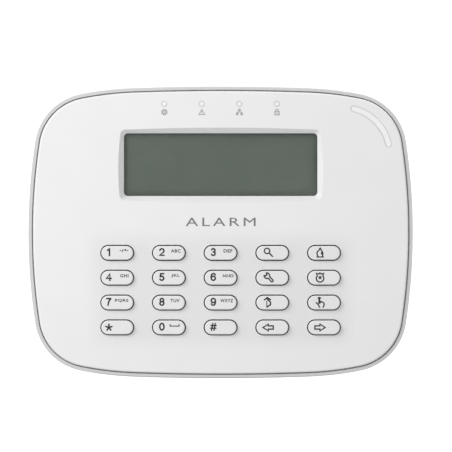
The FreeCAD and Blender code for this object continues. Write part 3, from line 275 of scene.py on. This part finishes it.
def worn_material(name, colour, roughness, grain, metallic=0.0, mottle=0.03, wear=1.08, coat=0.0):
    """The general finish: fine moulded grain, faint colour mottling, uneven gloss and worn edges."""
    material, graph = new_graph(name)
    space = millimetre_space(graph)
    fine = noise(graph, space, grain, detail=2.0)
    broad = noise(graph, space, BROAD_NOISE, detail=4.0)
    middle = noise(graph, space, MIDDLE_NOISE)
    darker = shade(colour, 1 - mottle)
    lighter = shade(colour, 1 + mottle)
    mottled = mix_colour(graph, stretch(graph, broad, 0.0, 1.0), darker, lighter)
    edges, soft_normal = edge_mask(graph, SOFT_EDGE * MM)
    patchy = maths(graph, "MULTIPLY", edges, stretch(graph, middle, 0.0, WEAR_SHARE))
    worn = mix_colour(graph, patchy, mottled, shade(colour, wear))
    uneven = stretch(graph, middle, roughness - ROUGHNESS_SPREAD, roughness + ROUGHNESS_SPREAD)
    normal = bump(graph, fine, GRAIN_DEPTH, Normal=soft_normal)
    shader = principled(graph, worn, uneven, normal, Metallic=metallic)
    shader.inputs["Coat Weight"].default_value = coat
    add(graph, "ShaderNodeOutputMaterial", Surface=out(shader))
    return material


def clear_material(name, tint, clarity, roughness):
    """Clear plastic: mostly see-through, with a gloss reflection, faint haze and fine scratches."""
    material, graph = new_graph(name)
    space = millimetre_space(graph)
    haze = noise(graph, space, HAZE_NOISE, detail=5.0)
    scratches = noise(graph, space, SCRATCH_NOISE, detail=6.0)
    uneven = stretch(graph, haze, roughness * SMOOTHEST, roughness * ROUGHEST)
    gloss = principled(graph, tint, uneven, bump(graph, scratches, SCRATCH_DEPTH))
    through = add(graph, "ShaderNodeBsdfTransparent", Color=rgba(tint))
    facing = add(graph, "ShaderNodeFresnel", IOR=LENS_INDEX)
    milky = stretch(graph, haze, 0.0, 1 - clarity)
    share = maths(graph, "ADD", out(facing), milky, use_clamp=True)
    add(graph, "ShaderNodeOutputMaterial", Surface=out(mix_shaders(graph, share, through, gloss)))
    return material


def display_material(name):
    """Green-grey reflective display glass, with painted shade darkening it towards the window's edges."""
    material, graph = new_graph(name)
    space = millimetre_space(graph)
    broad = noise(graph, space, DISPLAY_BROAD_NOISE)
    fine = noise(graph, space, DISPLAY_FINE_NOISE, detail=2.0)
    base = mix_colour(graph, stretch(graph, broad, 0.0, 1.0), DISPLAY_DARK, DISPLAY_LIGHT)
    # Painted shade: the colour is darkened outside a box set in from the lens's edges.
    low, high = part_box("display_lens")
    middle = box_mask(graph, space, low, high, DISPLAY_INSET, DISPLAY_FADE)
    shaded = maths(graph, "SUBTRACT", 1.0, middle)
    edged = add(graph, "ShaderNodeHueSaturation", Value=DISPLAY_EDGE_PAINTED_SHADE, Color=base, Fac=shaded)
    normal = bump(graph, fine, DISPLAY_GRAIN_DEPTH, strength=0.4)
    shader = principled(graph, out(edged), stretch(graph, fine, *DISPLAY_ROUGHNESS), normal)
    add(graph, "ShaderNodeOutputMaterial", Surface=out(shader))
    return material


def moulded_shell(name, colour):
    """The fine satin plastic of the case."""
    return worn_material(name, colour, 0.42, grain=5.0, mottle=0.012)


def ink(name, colour, mottle=0.1):
    return worn_material(name, colour, 0.5, grain=8.0, mottle=mottle)


def paint_shade_round_keys(material):
    """Paint shade into the cover's colour: a little darker round the keys, and darker in its grooves where
    ambient occlusion finds them.
    """
    graph = material.node_tree
    shader = next(node for node in graph.nodes if node.type == "BSDF_PRINCIPLED")
    colour = shader.inputs["Base Color"].links[0].from_socket
    # Painted shade: the colour is darkened in a soft box round the key field.
    low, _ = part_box("key_star")
    _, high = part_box("key_fire")
    share = box_mask(graph, millimetre_space(graph), low, high, KEY_ZONE_SHADE_INSET, KEY_ZONE_SHADE_FADE)
    key_zone_shaded = add(graph, "ShaderNodeHueSaturation", Value=KEY_ZONE_PAINTED_SHADE, Color=colour, Fac=share)
    # Painted shade: the colour is darkened where ambient occlusion finds grooves and gaps.
    groove_occlusion = add(graph, "ShaderNodeAmbientOcclusion", samples=8, Distance=GROOVE_SHADE_REACH * MM,
                   Color=out(key_zone_shaded))
    groove_shaded = mix_colour(graph, GROOVE_SHADE_SHARE, out(key_zone_shaded), out(groove_occlusion, "Color"))
    graph.links.new(groove_shaded, shader.inputs["Base Color"])
    return material


def record_material(slot):
    """The finish of a slot from its colour and its class in the record."""
    kind = SLOTS[slot]["class"]
    colour = tuple(SLOTS[slot]["base_color"][:3])
    roughness = ROUGHNESS.get(kind, PLAIN_ROUGHNESS)
    metallic = 1.0 if kind in METALS else 0.0
    return worn_material(slot, colour, roughness, grain=4.0, metallic=metallic, mottle=0.02, wear=1.2)


def slot_materials():
    """One material for each slot of the record."""
    own = {
        "shell_plastic": paint_shade_round_keys(moulded_shell("white_cover_painted_shade", SHELL_WHITE)),
        "key_rubber": worn_material("matt_silicone", KEY_WHITE, 0.62, grain=9.0, mottle=0.015),
        "clear_lens": clear_material("clear_lens", LENS_TINT, 0.98, 0.06),
        "display_glass": display_material("display_glass"),
        "clear_guide": worn_material("clear_light_pipe", GUIDE_WHITE, 0.2, grain=3.0, coat=0.5),
        "milky_guide": worn_material("milky_light_guide", GUIDE_WHITE, 0.3, grain=4.0, coat=0.3),
    }
    return {slot: own.get(slot) or record_material(slot) for slot in SLOTS}


def paint_nodes(materials):
    """Give each node the material of its slot; only the housing has its own, a darker copy of the cover's
    white as painted shade.
    """
    housing = moulded_shell("housing_painted_shade", HOUSING_SHADED_WHITE)
    for node, item in NODES.items():
        material = housing if node == "rear_housing" else materials[SLOT_OF_NODE[node]]
        if not item.material_slots:
            item.data.materials.append(material)
        for slot in item.material_slots:
            slot.material = material


# ---------------------------------------------------------------- flat shapes, in millimetres

MITRE_LIMIT = 0.6
CAP_TURNS = (-math.pi / 4, 0.0, math.pi / 4)
CURVE_STEPS = 3


def arc_points(cx, cz, radius, start, end, steps=12):
    """Points on an arc, with the angles in degrees."""
    turns = [math.radians(start + (end - start) * n / steps) for n in range(steps + 1)]
    return [(cx + radius * math.cos(t), cz + radius * math.sin(t)) for t in turns]


def curve_between(a, b, c, d, t):
    """One coordinate of the smooth curve from b to c, with the neighbours a and d."""
    return 0.5 * (2 * b + (c - a) * t + (2 * a - 5 * b + 4 * c - d) * t * t
                  + (3 * b - a - 3 * c + d) * t ** 3)


def smooth(points, steps=6):
    """A smooth open curve through a few points."""
    last = len(points) - 1
    curve = []
    for n in range(last):
        a, b, c, d = (points[min(max(n + k, 0), last)] for k in (-1, 0, 1, 2))
        for step in range(steps):
            t = step / steps
            curve.append(tuple(curve_between(a[i], b[i], c[i], d[i], t) for i in (0, 1)))
    return curve + [points[-1]]


def unit(dx, dz):
    length = math.hypot(dx, dz) or 1.0
    return dx / length, dz / length


def stroke(points, width, closed=False):
    """A flat ribbon of even width along a path, with mitred bends and round ends."""
    half = width / 2
    count = len(points)
    left, right = [], []
    for n, (x, z) in enumerate(points):
        before = points[n - 1] if n > 0 or closed else None
        after = points[(n + 1) % count] if n < count - 1 or closed else None
        ways = []
        if before is not None:
            ways.append(unit(x - before[0], z - before[1]))
        if after is not None:
            ways.append(unit(after[0] - x, after[1] - z))
        way = unit(sum(w[0] for w in ways), sum(w[1] for w in ways))
        spread = way[0] * ways[0][0] + way[1] * ways[0][1]
        reach = half / max(spread, MITRE_LIMIT)
        left.append((x - way[1] * reach, z + way[0] * reach))
        right.append((x + way[1] * reach, z - way[0] * reach))
    verts = left + right
    faces = []
    for n in range(count if closed else count - 1):
        following = (n + 1) % count
        faces.append((n, count + n, count + following, following))
    if not closed:
        for end, other in ((0, 1), (count - 1, count - 2)):
            x, z = points[end]
            away = math.atan2(z - points[other][1], x - points[other][0])
            cap = [(x + half * math.cos(away + t), z + half * math.sin(away + t)) for t in CAP_TURNS]
            first = len(verts)
            verts += cap
            start, finish = (end, count + end) if end == 0 else (count + end, end)
            faces.append((start, first, first + 1, first + 2, finish))
    return verts, faces


def solid_shape(points):
    """A filled flat shape as its corners and triangles."""
    corners = [Vector((x, z, 0)) for x, z in points]
    triangles = geometry.tessellate_polygon([corners])
    return list(points), [tuple(t) for t in triangles]


def lettering(text, height, width, spacing, weight=0.0):
    """Text as a flat shape, centred, with the given height and width."""
    curve = bpy.data.curves.new("lettering", "FONT")
    curve.body = text
    curve.offset = weight
    curve.space_character = spacing
    curve.resolution_u = CURVE_STEPS
    item = bpy.data.objects.new("lettering", curve)
    bpy.context.scene.collection.objects.link(item)
    bpy.context.view_layer.update()
    mesh = bpy.data.meshes.new_from_object(item.evaluated_get(bpy.context.evaluated_depsgraph_get()))
    xs = [v.co.x for v in mesh.vertices]
    ys = [v.co.y for v in mesh.vertices]
    scale_z = height / (max(ys) - min(ys))
    scale_x = width / (max(xs) - min(xs))
    cx = (max(xs) + min(xs)) / 2
    cy = (max(ys) + min(ys)) / 2
    verts = [((v.co.x - cx) * scale_x, (v.co.y - cy) * scale_z) for v in mesh.vertices]
    faces = [tuple(p.vertices) for p in mesh.polygons]
    bpy.data.objects.remove(item)
    bpy.data.meshes.remove(mesh)
    bpy.data.curves.remove(curve)
    return verts, faces


def moved(shape, dx, dz):
    verts, faces = shape
    return [(x + dx, z + dz) for x, z in verts], faces


def joined(shapes):
    """Several flat shapes as one."""
    verts, faces = [], []
    for more, ring in shapes:
        base = len(verts)
        verts += more
        faces += [tuple(base + n for n in face) for face in ring]
    return verts, faces


# ---------------------------------------------------------------- printing on the dome

DOME_RADIUS = 1250.0
PRINT_PROUD = 0.03
PRINT_SUNK = 0.06
INSIDE_ONLY = 1
MERGE_GAP = 1e-5


class Dome:
    """The great sphere that shapes a front surface, with its front-most point over the middle."""

    def __init__(self, apex):
        self.centre = apex - DOME_RADIUS

    def front(self, x, z):
        """How far the dome stands out from the wall at x, z."""
        return self.centre + math.sqrt(DOME_RADIUS ** 2 - x * x - z * z)


def around(ring):
    """The edges of a ring of corners, in order."""
    return zip(ring, ring[1:] + ring[:1])


def anticlockwise(verts, face):
    """The same face with its corners in anticlockwise order."""
    area = sum(verts[a][0] * verts[b][1] - verts[b][0] * verts[a][1] for a, b in around(face))
    return face if area > 0 else tuple(reversed(face))


def united(shape):
    """The same area as one sheet of triangles, with every overlap of its strokes merged."""
    verts, faces = shape
    corners = [Vector(point) for point in verts]
    rings = [anticlockwise(verts, face) for face in faces]
    sheet = geometry.delaunay_2d_cdt(corners, [], rings, INSIDE_ONLY, MERGE_GAP)
    merged, _, triangles, _, _, covered_by = sheet
    points = [tuple(point) for point in merged]
    kept = [tuple(face) for face, strokes in zip(triangles, covered_by) if strokes]
    used = sorted({corner for face in kept for corner in face})
    renumbered = {old: new for new, old in enumerate(used)}
    faces = [anticlockwise(points, face) for face in kept]
    return [points[old] for old in used], [tuple(renumbered[n] for n in face) for face in faces]


def print_on(name, shape, x, z, dome, material, body, slot):
    """Lay a flat shape on a dome as a thin closed solid centred at x, z in millimetres."""
    verts, rings = united(shape)
    count = len(verts)
    points = []
    for lift in (PRINT_PROUD, -PRINT_SUNK):
        for dx, dz in verts:
            front = dome.front(x + dx, z + dz) + lift
            points.append(((x + dx) * MM, -front * MM, (z + dz) * MM))
    edges = {edge for ring in rings for edge in around(ring)}
    back = [tuple(count + n for n in reversed(ring)) for ring in rings]
    sides = [(a, count + a, count + b, b) for a, b in sorted(edges) if (b, a) not in edges]
    mesh = bpy.data.meshes.new(name)
    mesh.from_pydata(points, [], rings + back + sides)
    mesh.validate()
    mesh.materials.append(material)
    item = bpy.data.objects.new(name, mesh)
    bpy.context.scene.collection.objects.link(item)
    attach(item, body)


# ---------------------------------------------------------------- key legends

HALF_WIDE = 0.9
HALF_TALL = 1.42
DIGIT_STROKE = 0.66
SYMBOL_STROKE = 0.56
MARK_STROKE = 0.35
DIGIT_RISE = 0.36

# How far each digit stands from its key's middle, which differs a little from column to column.
DIGIT_SHIFT = {"key_1": -3.5, "key_4": -3.55, "key_7": -3.65,
               **dict.fromkeys(("key_2", "key_5", "key_8", "key_0"), -3.0),
               **dict.fromkeys(("key_3", "key_6", "key_9"), -3.15)}

LETTER_HEIGHT = 1.45
LETTER_RISE = 0.87
LETTER_WEIGHT = 0.024
LETTER_SPACING = 1.12
LETTER_STROKE = 0.3

# From a key's middle up to where its top edge is rounded.
KEY_TOP_HALF = 2.4

# The letters of each key, with their width and their shift from the key's middle.
KEY_LETTERS = {
    "key_2": ("ABC", 4.2, 2.97), "key_3": ("DEF", 3.8, 3.15), "key_4": ("GHI", 3.6, 3.06),
    "key_5": ("JKL", 3.6, 2.84), "key_7": ("PQRS", 5.7, 1.95),
    "key_8": ("TUV", 3.95, 2.62), "key_9": ("WXYZ", 5.5, 2.6),
}


def oval(cx, cz, wide, tall, steps=24):
    turns = [2 * math.pi * n / steps for n in range(steps)]
    return [(cx + wide * math.cos(t), cz + tall * math.sin(t)) for t in turns]


def turned(points):
    """The same points turned half way round."""
    return [(-x, -z) for x, z in points]


def hook_of_six():
    return smooth([(0.8, 0.85), (0.5, 1.32), (0.0, HALF_TALL), (-0.62, 1.1), (-0.9, 0.3), (-0.88, -0.5)])


def digit_paths():
    """Each digit as its open paths and its closed paths, centred on the middle of the digit."""
    wide = HALF_WIDE
    tall = HALF_TALL
    bar = 1.38
    top = 0.71
    bottom = -0.66
    one_flag = smooth([(0.2, tall), (-0.15, 1.05), (-0.6, 0.75)])
    five_bowl = arc_points(-0.05, -0.55, 0.86, 138, -155)
    six_loop = oval(0.0, -0.55, 0.88, 0.87)
    seven_stem = smooth([(0.9, 1.3), (0.3, 0.5), (-0.1, -0.5), (-0.25, -1.5)])
    return {
        "0": ([], [oval(0.0, 0.0, wide, tall)]),
        "1": ([[(0.2, -tall - 0.1), (0.2, tall)], one_flag], []),
        "2": ([arc_points(0.0, 0.52, 0.88, 168, -32) + [(-wide, -bar), (wide, -bar)]], []),
        "3": ([arc_points(0.0, top, 0.72, 160, -90), arc_points(0.0, bottom, 0.78, 90, -160)], []),
        "4": ([[(0.42, -tall - 0.1), (0.42, 1.3), (-1.0, -0.62), (1.0, -0.62)]], []),
        "5": ([[(0.8, bar), (-0.52, bar), (-0.68, 0.1)], five_bowl], []),
        "6": ([hook_of_six()], [six_loop]),
        "7": ([[(-wide, bar), (0.85, bar)] + seven_stem], []),
        "8": ([], [oval(0.0, top, 0.72, 0.71), oval(0.0, bottom, 0.85, 0.77)]),
        "9": ([turned(hook_of_six())], [turned(six_loop)]),
    }


def stroke_digit(digit):
    """A digit as a flat shape of even strokes."""
    open_paths, closed_paths = digit_paths()[digit]
    shapes = [stroke(path, DIGIT_STROKE) for path in open_paths]
    shapes += [stroke(path, DIGIT_STROKE, closed=True) for path in closed_paths]
    return joined(shapes)


def search_symbol():
    """A magnifying glass."""
    ring = stroke(arc_points(-2.3, 0.85, 1.15, 0, 345, 23), 0.55, closed=True)
    handle = stroke([(-1.4, -0.05), (0.05, -1.5)], 0.6)
    return joined([ring, handle])


def fire_symbol():
    """A flame over a base line."""
    left = smooth([(-1.65, 2.1), (-2.1, 1.35), (-2.5, 0.85), (-3.0, 0.3), (-3.05, -0.4), (-2.65, -1.5)])
    right = smooth([(-1.65, 2.1), (-1.25, 1.3), (-0.95, 0.7), (-0.62, -0.1), (-0.68, -1.5)])
    base = stroke([(-3.1, -1.75), (-0.3, -1.75)], 0.5)
    blob = solid_shape(oval(-0.85, -0.15, 0.62, 0.62, 12))
    return joined([stroke(left, SYMBOL_STROKE), stroke(right, SYMBOL_STROKE), base, blob])


def tool_symbol():
    """A spanner with an open jaw."""
    outline = arc_points(-2.35, 0.9, 1.2, 105, -20, 6) + [(0.15, -0.85)]
    outline += arc_points(-0.2, -1.25, 0.5, 40, -140, 5)
    outline += [(-1.6, -0.3)] + arc_points(-2.35, 0.9, 1.2, -75, -185, 6)
    jaw = [outline[-1], (-2.9, 0.8), (-2.35, 1.25), outline[0]]
    return joined([stroke(outline, SYMBOL_STROKE), stroke(jaw, SYMBOL_STROKE)])


def star_points(cx, cz, outer, inner):
    """The corners of a five-pointed star."""
    points = []
    for n in range(10):
        reach = inner if n % 2 else outer
        turn = math.pi / 2 + math.pi * n / 5
        points.append((cx + reach * math.cos(turn), cz + reach * math.sin(turn)))
    return points


def badge_symbol():
    """A shield with a three-pointed top and a star in the middle."""
    half = [(0.0, 2.1), (0.65, 1.55), (1.6, 1.95), (1.2, 0.95)]
    half += arc_points(0.0, -0.25, 1.6, 40, -70, 8) + [(0.0, -1.85)]
    outline = half + [(-x, z) for x, z in reversed(half[1:-1])]
    star = solid_shape(star_points(0.0, 0.1, 1.05, 0.5))
    return moved(joined([stroke(outline, SYMBOL_STROKE, closed=True), star]), -1.75, 0.0)


def bypass_symbol():
    """An arrow that steps round a dashed straight line."""
    chevron = stroke([(-3.45, 1.2), (-2.15, 2.2), (-0.8, 1.25)], 0.6)
    path = stroke([(-2.3, 1.6), (-0.8, 0.15), (-0.8, -0.85), (-2.35, -1.9)], 0.6)
    dashes = [stroke([(-2.4, z), (-2.4, z - 0.4)], 0.42) for z in (0.6, -0.2, -1.0)]
    return joined([chevron, path] + dashes)


def touch_symbol():
    """A hand with one finger that presses."""
    ripple = stroke(arc_points(-2.05, 1.5, 0.75, 150, 30, 6), 0.4)
    finger = stroke([(-2.05, 1.9), (-2.1, 0.1)], 0.8)
    knuckles = stroke(smooth([(-1.8, 0.5), (-1.0, 0.35), (-0.2, -0.1), (0.0, -0.9), (-0.45, -2.0)]), 0.55)
    thumb = stroke(smooth([(-3.4, 0.0), (-2.75, -0.6), (-1.9, -2.0)]), 0.55)
    palm = solid_shape([(-2.5, 0.3), (-1.7, 0.8), (-0.9, 0.45), (-1.5, -0.3), (-2.5, -0.7)])
    return joined([ripple, finger, knuckles, thumb, palm])


def arrow_outline(way):
    """A block arrow outline that points left for -1 and right for +1."""
    half = [(2.25, 0.0), (0.0, 1.45), (0.0, 0.7), (-2.15, 0.7)]
    points = half + [(x, -z) for x, z in reversed(half[1:])]
    return stroke([(-1.78 + way * x, z) for x, z in points], 0.58, closed=True)


def space_bracket():
    return stroke([(-1.9, 0.4), (-1.9, -0.3), (1.9, -0.3), (1.9, 0.4)], 0.42)


def asterisk(reach, width):
    arms = []
    for n in range(5):
        turn = math.pi / 2 + 2 * math.pi * n / 5
        arms.append(stroke([(0, 0), (reach * math.cos(turn), reach * math.sin(turn))], width))
    return joined(arms)


def hash_mark():
    bars = [[(-0.8, -1.5), (-0.25, 1.5)], [(0.25, -1.5), (0.8, 1.5)],
            [(-1.05, 0.58), (1.2, 0.58)], [(-1.2, -0.55), (1.05, -0.55)]]
    return joined([stroke(bar, 0.58) for bar in bars])


def choice_marks():
    """The small marks over key 1: a dash, a slash, a star and a dash."""
    dashes = [stroke([(x, 0.1), (x + 0.4, 0.1)], MARK_STROKE) for x in (-1.75, 1.35)]
    slash = stroke([(-0.85, -0.5), (-0.4, 0.55)], MARK_STROKE)
    star = moved(asterisk(0.4, 0.28), 0.55, 0.25)
    return joined(dashes + [slash, star])


def letters_mno():
    """The letters M, N and O as strokes, because the font's heavier outline closes the notches of an M."""
    tall = (LETTER_HEIGHT - LETTER_STROKE) / 2
    letter_m = [(-2.15, -tall), (-2.15, tall), (-1.55, -0.35), (-0.95, tall), (-0.95, -tall)]
    letter_n = [(-0.45, -tall), (-0.45, tall), (0.5, -tall), (0.5, tall)]
    letter_o = oval(1.55, 0.0, 0.62, tall)
    return joined([stroke(letter_m, LETTER_STROKE), stroke(letter_n, LETTER_STROKE),
                   stroke(letter_o, LETTER_STROKE, closed=True)])


SYMBOLS = {
    "key_search": search_symbol, "key_fire": fire_symbol, "key_tool": tool_symbol,
    "key_badge": badge_symbol, "key_bypass": bypass_symbol, "key_touch": touch_symbol,
    "key_left": lambda: arrow_outline(-1), "key_right": lambda: arrow_outline(1),
    "key_star": lambda: moved(asterisk(1.4, 0.66), -3.55, 0.0),
    "key_hash": lambda: moved(hash_mark(), -3.1, DIGIT_RISE - 0.1),
}


def key_centre(node):
    """The middle of a key in x and z, in millimetres."""
    low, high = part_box(node)
    return (low.x + high.x) / 2 / MM, (low.z + high.z) / 2 / MM


def key_dome():
    """The dome of the key tops, from the front-most point of the middle key of the top row."""
    x, z = key_centre("key_3")
    front = -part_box("key_3")[0].y / MM
    return Dome(front - Dome(0.0).front(x, abs(z) - KEY_TOP_HALF))


def key_legends(dark, grey):
    """The print of every key, which moves with the key."""
    dome = key_dome()

    def legend(node, name, shape, material):
        x, z = key_centre(node)
        print_on(f"{node}_{name}", shape, x, z, dome, material, f"{node}_body", "key_rubber")

    for node, shift in DIGIT_SHIFT.items():
        digit = stroke_digit(node.removeprefix("key_"))
        legend(node, "digit", moved(digit, shift, DIGIT_RISE), dark)
    for node, (letters, width, shift) in KEY_LETTERS.items():
        shape = lettering(letters, LETTER_HEIGHT, width, LETTER_SPACING, LETTER_WEIGHT)
        legend(node, "letters", moved(shape, shift, LETTER_RISE), grey)
    legend("key_6", "letters", moved(letters_mno(), 3.2, LETTER_RISE), grey)
    legend("key_1", "marks", moved(choice_marks(), 2.95, 0.95), grey)
    legend("key_0", "space", moved(space_bracket(), 2.45, 0.9), dark)
    for node, draw in SYMBOLS.items():
        legend(node, "symbol", draw(), dark)


# ---------------------------------------------------------------- printing on the cover

STATUS_DROP = 3.5
LAMP_HALF = 0.8
WORD_HEIGHT = 3.6
WORD_WIDTH = 30.0
WORD_SPACING = 1.3
WORD_PLACE = (0.0, 4.5)


def gear_symbol():
    """A gear with eight teeth and a hub."""
    ring = stroke(oval(0.0, 0.0, 0.85, 0.85), 0.6, closed=True)
    teeth = []
    for n in range(8):
        turn = math.radians(45 * n + 22.5)
        root_and_tip = [(reach * math.cos(turn), reach * math.sin(turn)) for reach in (1.0, 1.3)]
        teeth.append(stroke(root_and_tip, 0.42))
    hub = solid_shape(oval(0.0, 0.0, 0.28, 0.28, 12))
    return joined([ring] + teeth + [hub])


def warning_symbol():
    """A triangle with an exclamation mark."""
    edge = stroke([(0, 1.15), (-1.3, -1.05), (1.3, -1.05)], 0.36, closed=True)
    return joined([edge, stroke([(0, 0.4), (0, -0.2)], 0.34), stroke([(0, -0.6), (0, -0.65)], 0.34)])


def square(cx, cz, side):
    half = side / 2
    corners = [(-half, -half), (half, -half), (half, half), (-half, half)]
    return solid_shape([(cx + dx, cz + dz) for dx, dz in corners])


def network_symbol():
    """Three boxes joined by lines."""
    reach = 0.95
    boxes = [square(0.0, reach, 1.0), square(-reach, -0.8, 1.05), square(reach, -0.8, 1.05)]
    links = [stroke([(0, 0.6), (0, 0.0)], 0.32),
             stroke([(-reach, -0.4), (-reach, 0.05), (reach, 0.05), (reach, -0.4)], 0.32)]
    return joined(boxes + links)


def padlock_symbol():
    """A closed padlock with a keyhole."""
    body = stroke([(-0.9, -1.15), (0.9, -1.15), (0.9, 0.15), (-0.9, 0.15)], 0.42, closed=True)
    arch = [(-0.58, 0.2), (-0.58, 0.6)] + arc_points(0, 0.62, 0.58, 170, 10, 8)
    arch += [(0.58, 0.6), (0.58, 0.2)]
    return joined([body, stroke(arch, 0.36), square(0.0, -0.5, 0.4)])


def cover_dome():
    """The dome of the cover, from its front-most point."""
    return Dome(-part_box("front_cover")[0].y / MM)


def cover_prints(pale, middling):
    """A symbol under each status light, and a plain word under the display."""
    dome = cover_dome()
    low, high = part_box("status_leds")
    first = low.x / MM + LAMP_HALF
    last = high.x / MM - LAMP_HALF
    height = (low.z + high.z) / 2 / MM - STATUS_DROP
    symbols = [gear_symbol, warning_symbol, network_symbol, padlock_symbol]
    for n, draw in enumerate(symbols):
        x = first + (last - first) * n / (len(symbols) - 1)
        print_on(f"status_symbol_{n}", draw(), x, height, dome, pale, "case", "shell_plastic")
    word = lettering("ALARM", WORD_HEIGHT, WORD_WIDTH, WORD_SPACING)
    print_on("generic_word", word, *WORD_PLACE, dome, middling, "case", "shell_plastic")


# ---------------------------------------------------------------- the plunger's spring

def plunger_spring(material):
    """The tamper plunger's spring, as a copy of its part with the given material in the case's body; the
    part itself is hidden.
    """
    mesh = NODES["tamper_spring"].data.copy()
    mesh.materials.clear()
    mesh.materials.append(material)
    coil = bpy.data.objects.new("plunger_coil", mesh)
    bpy.context.scene.collection.objects.link(coil)
    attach(coil, "case")
    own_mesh(coil)
    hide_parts("tamper_spring")


# ---------------------------------------------------------------- stage, light and camera, in metres

FLOOR_DROP = 0.25
FLOOR_HALF = 1.6
FLOOR_NOISE = 0.02
FLOOR_DARK = (0.92, 0.92, 0.92)
FLOOR_LIGHT = (0.95, 0.95, 0.95)
FLOOR_GLOW = 0.45

WHITE = (1.0, 1.0, 1.0)
SKY_LEVEL = 0.628
SKY_SLOPE = (0.0, -0.10, -0.05)
SKY_SHOWN = 1.2

# Each lamp with its place from the panel's centre, its side length and its power in watts.
LAMPS = [
    ("key_light", (-0.75, -0.69, 0.5), 0.62, 6.4),
    ("rim_light", (0.4, 0.22, 0.65), 0.4, 3.6),
]

PICTURE_WIDTH = 0.19455
PICTURE_PLANE = -0.016
CAMERA_SHIFT = (0.0023, 0.00272)
LENS_MM = 300.0
FILM_MM = 36.0
NEAR_CLIP = 0.05
FAR_CLIP = 20.0


def floor_material():
    """A pale floor that glows a little, so that its far side stays as pale as the sky."""
    material, graph = new_graph("pale_floor")
    cloudy = noise(graph, millimetre_space(graph), FLOOR_NOISE)
    shader = add(graph, "ShaderNodeBsdfPrincipled", Roughness=0.8)
    feed(graph, mix_colour(graph, cloudy, FLOOR_DARK, FLOOR_LIGHT), shader.inputs["Base Color"])
    feed(graph, rgba(WHITE), shader.inputs["Emission Color"])
    feed(graph, FLOOR_GLOW, shader.inputs["Emission Strength"])
    add(graph, "ShaderNodeOutputMaterial", Surface=out(shader))
    return material


def pale_floor(height):
    """A square floor that the camera sees but that throws no light back on the panel."""
    signs = ((-1, -1), (1, -1), (1, 1), (-1, 1))
    corners = [(FLOOR_HALF * x, FLOOR_HALF * y, height) for x, y in signs]
    mesh = bpy.data.meshes.new("floor")
    mesh.from_pydata(corners, [], [tuple(range(len(corners)))])
    mesh.materials.append(floor_material())
    floor = bpy.data.objects.new("floor", mesh)
    bpy.context.scene.collection.objects.link(floor)
    floor.visible_diffuse = False
    floor.visible_glossy = False


def studio_sky():
    """White light from all round, a little brighter from in front; the camera itself sees plain white."""
    world = bpy.data.worlds.new("studio")
    world.use_nodes = True
    graph = world.node_tree
    graph.nodes.clear()
    way = add(graph, "ShaderNodeTexCoord")
    slope = dot_product(graph, out(way, "Generated"), SKY_SLOPE)
    level = maths(graph, "ADD", slope, SKY_LEVEL)
    lit = add(graph, "ShaderNodeBackground", Color=rgba(WHITE), Strength=level)
    shown = add(graph, "ShaderNodeBackground", Color=rgba(WHITE), Strength=SKY_SHOWN)
    seen = add(graph, "ShaderNodeLightPath")
    blend = mix_shaders(graph, out(seen, "Is Camera Ray"), lit, shown)
    add(graph, "ShaderNodeOutputWorld", Surface=out(blend))
    bpy.context.scene.world = world


def studio_lamps(centre):
    for name, offset, side, power in LAMPS:
        light = bpy.data.lights.new(name, "AREA")
        light.shape = "SQUARE"
        light.size = side
        light.energy = power
        lamp = bpy.data.objects.new(name, light)
        lamp.location = centre + Vector(offset)
        lamp.rotation_mode = "QUATERNION"
        lamp.rotation_quaternion = (-Vector(offset)).to_track_quat("-Z", "Y")
        bpy.context.scene.collection.objects.link(lamp)


def studio_camera(centre):
    """Square on to the face, a long way off, with the panel a little left of and below the middle."""
    lens = bpy.data.cameras.new("camera")
    lens.lens = LENS_MM
    lens.sensor_width = FILM_MM
    lens.clip_start = NEAR_CLIP
    lens.clip_end = FAR_CLIP
    distance = PICTURE_WIDTH * LENS_MM / FILM_MM
    across, upward = CAMERA_SHIFT
    camera = bpy.data.objects.new("camera", lens)
    camera.location = (centre.x + across, PICTURE_PLANE - distance, centre.z + upward)
    camera.rotation_euler = (math.radians(90), 0, 0)
    bpy.context.scene.collection.objects.link(camera)
    bpy.context.scene.camera = camera


def plain_view():
    view = bpy.context.scene.view_settings
    view.view_transform = "Standard"
    view.look = "None"
    view.exposure = 0.0


# ---------------------------------------------------------------- the scene

slot_finish = slot_materials()
paint_nodes(slot_finish)
key_legends(ink("dark_print", PRINT_DARK), ink("grey_print", PRINT_GREY))
cover_prints(ink("pale_print", PRINT_PALE, mottle=0.05), ink("word_print", PRINT_WORD))
plunger_spring(slot_finish["steel"])

panel_low, panel_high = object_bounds()
panel_centre = (panel_low + panel_high) / 2
pale_floor(panel_low.z - FLOOR_DROP)
studio_sky()
studio_lamps(panel_centre)
studio_camera(panel_centre)
plain_view()
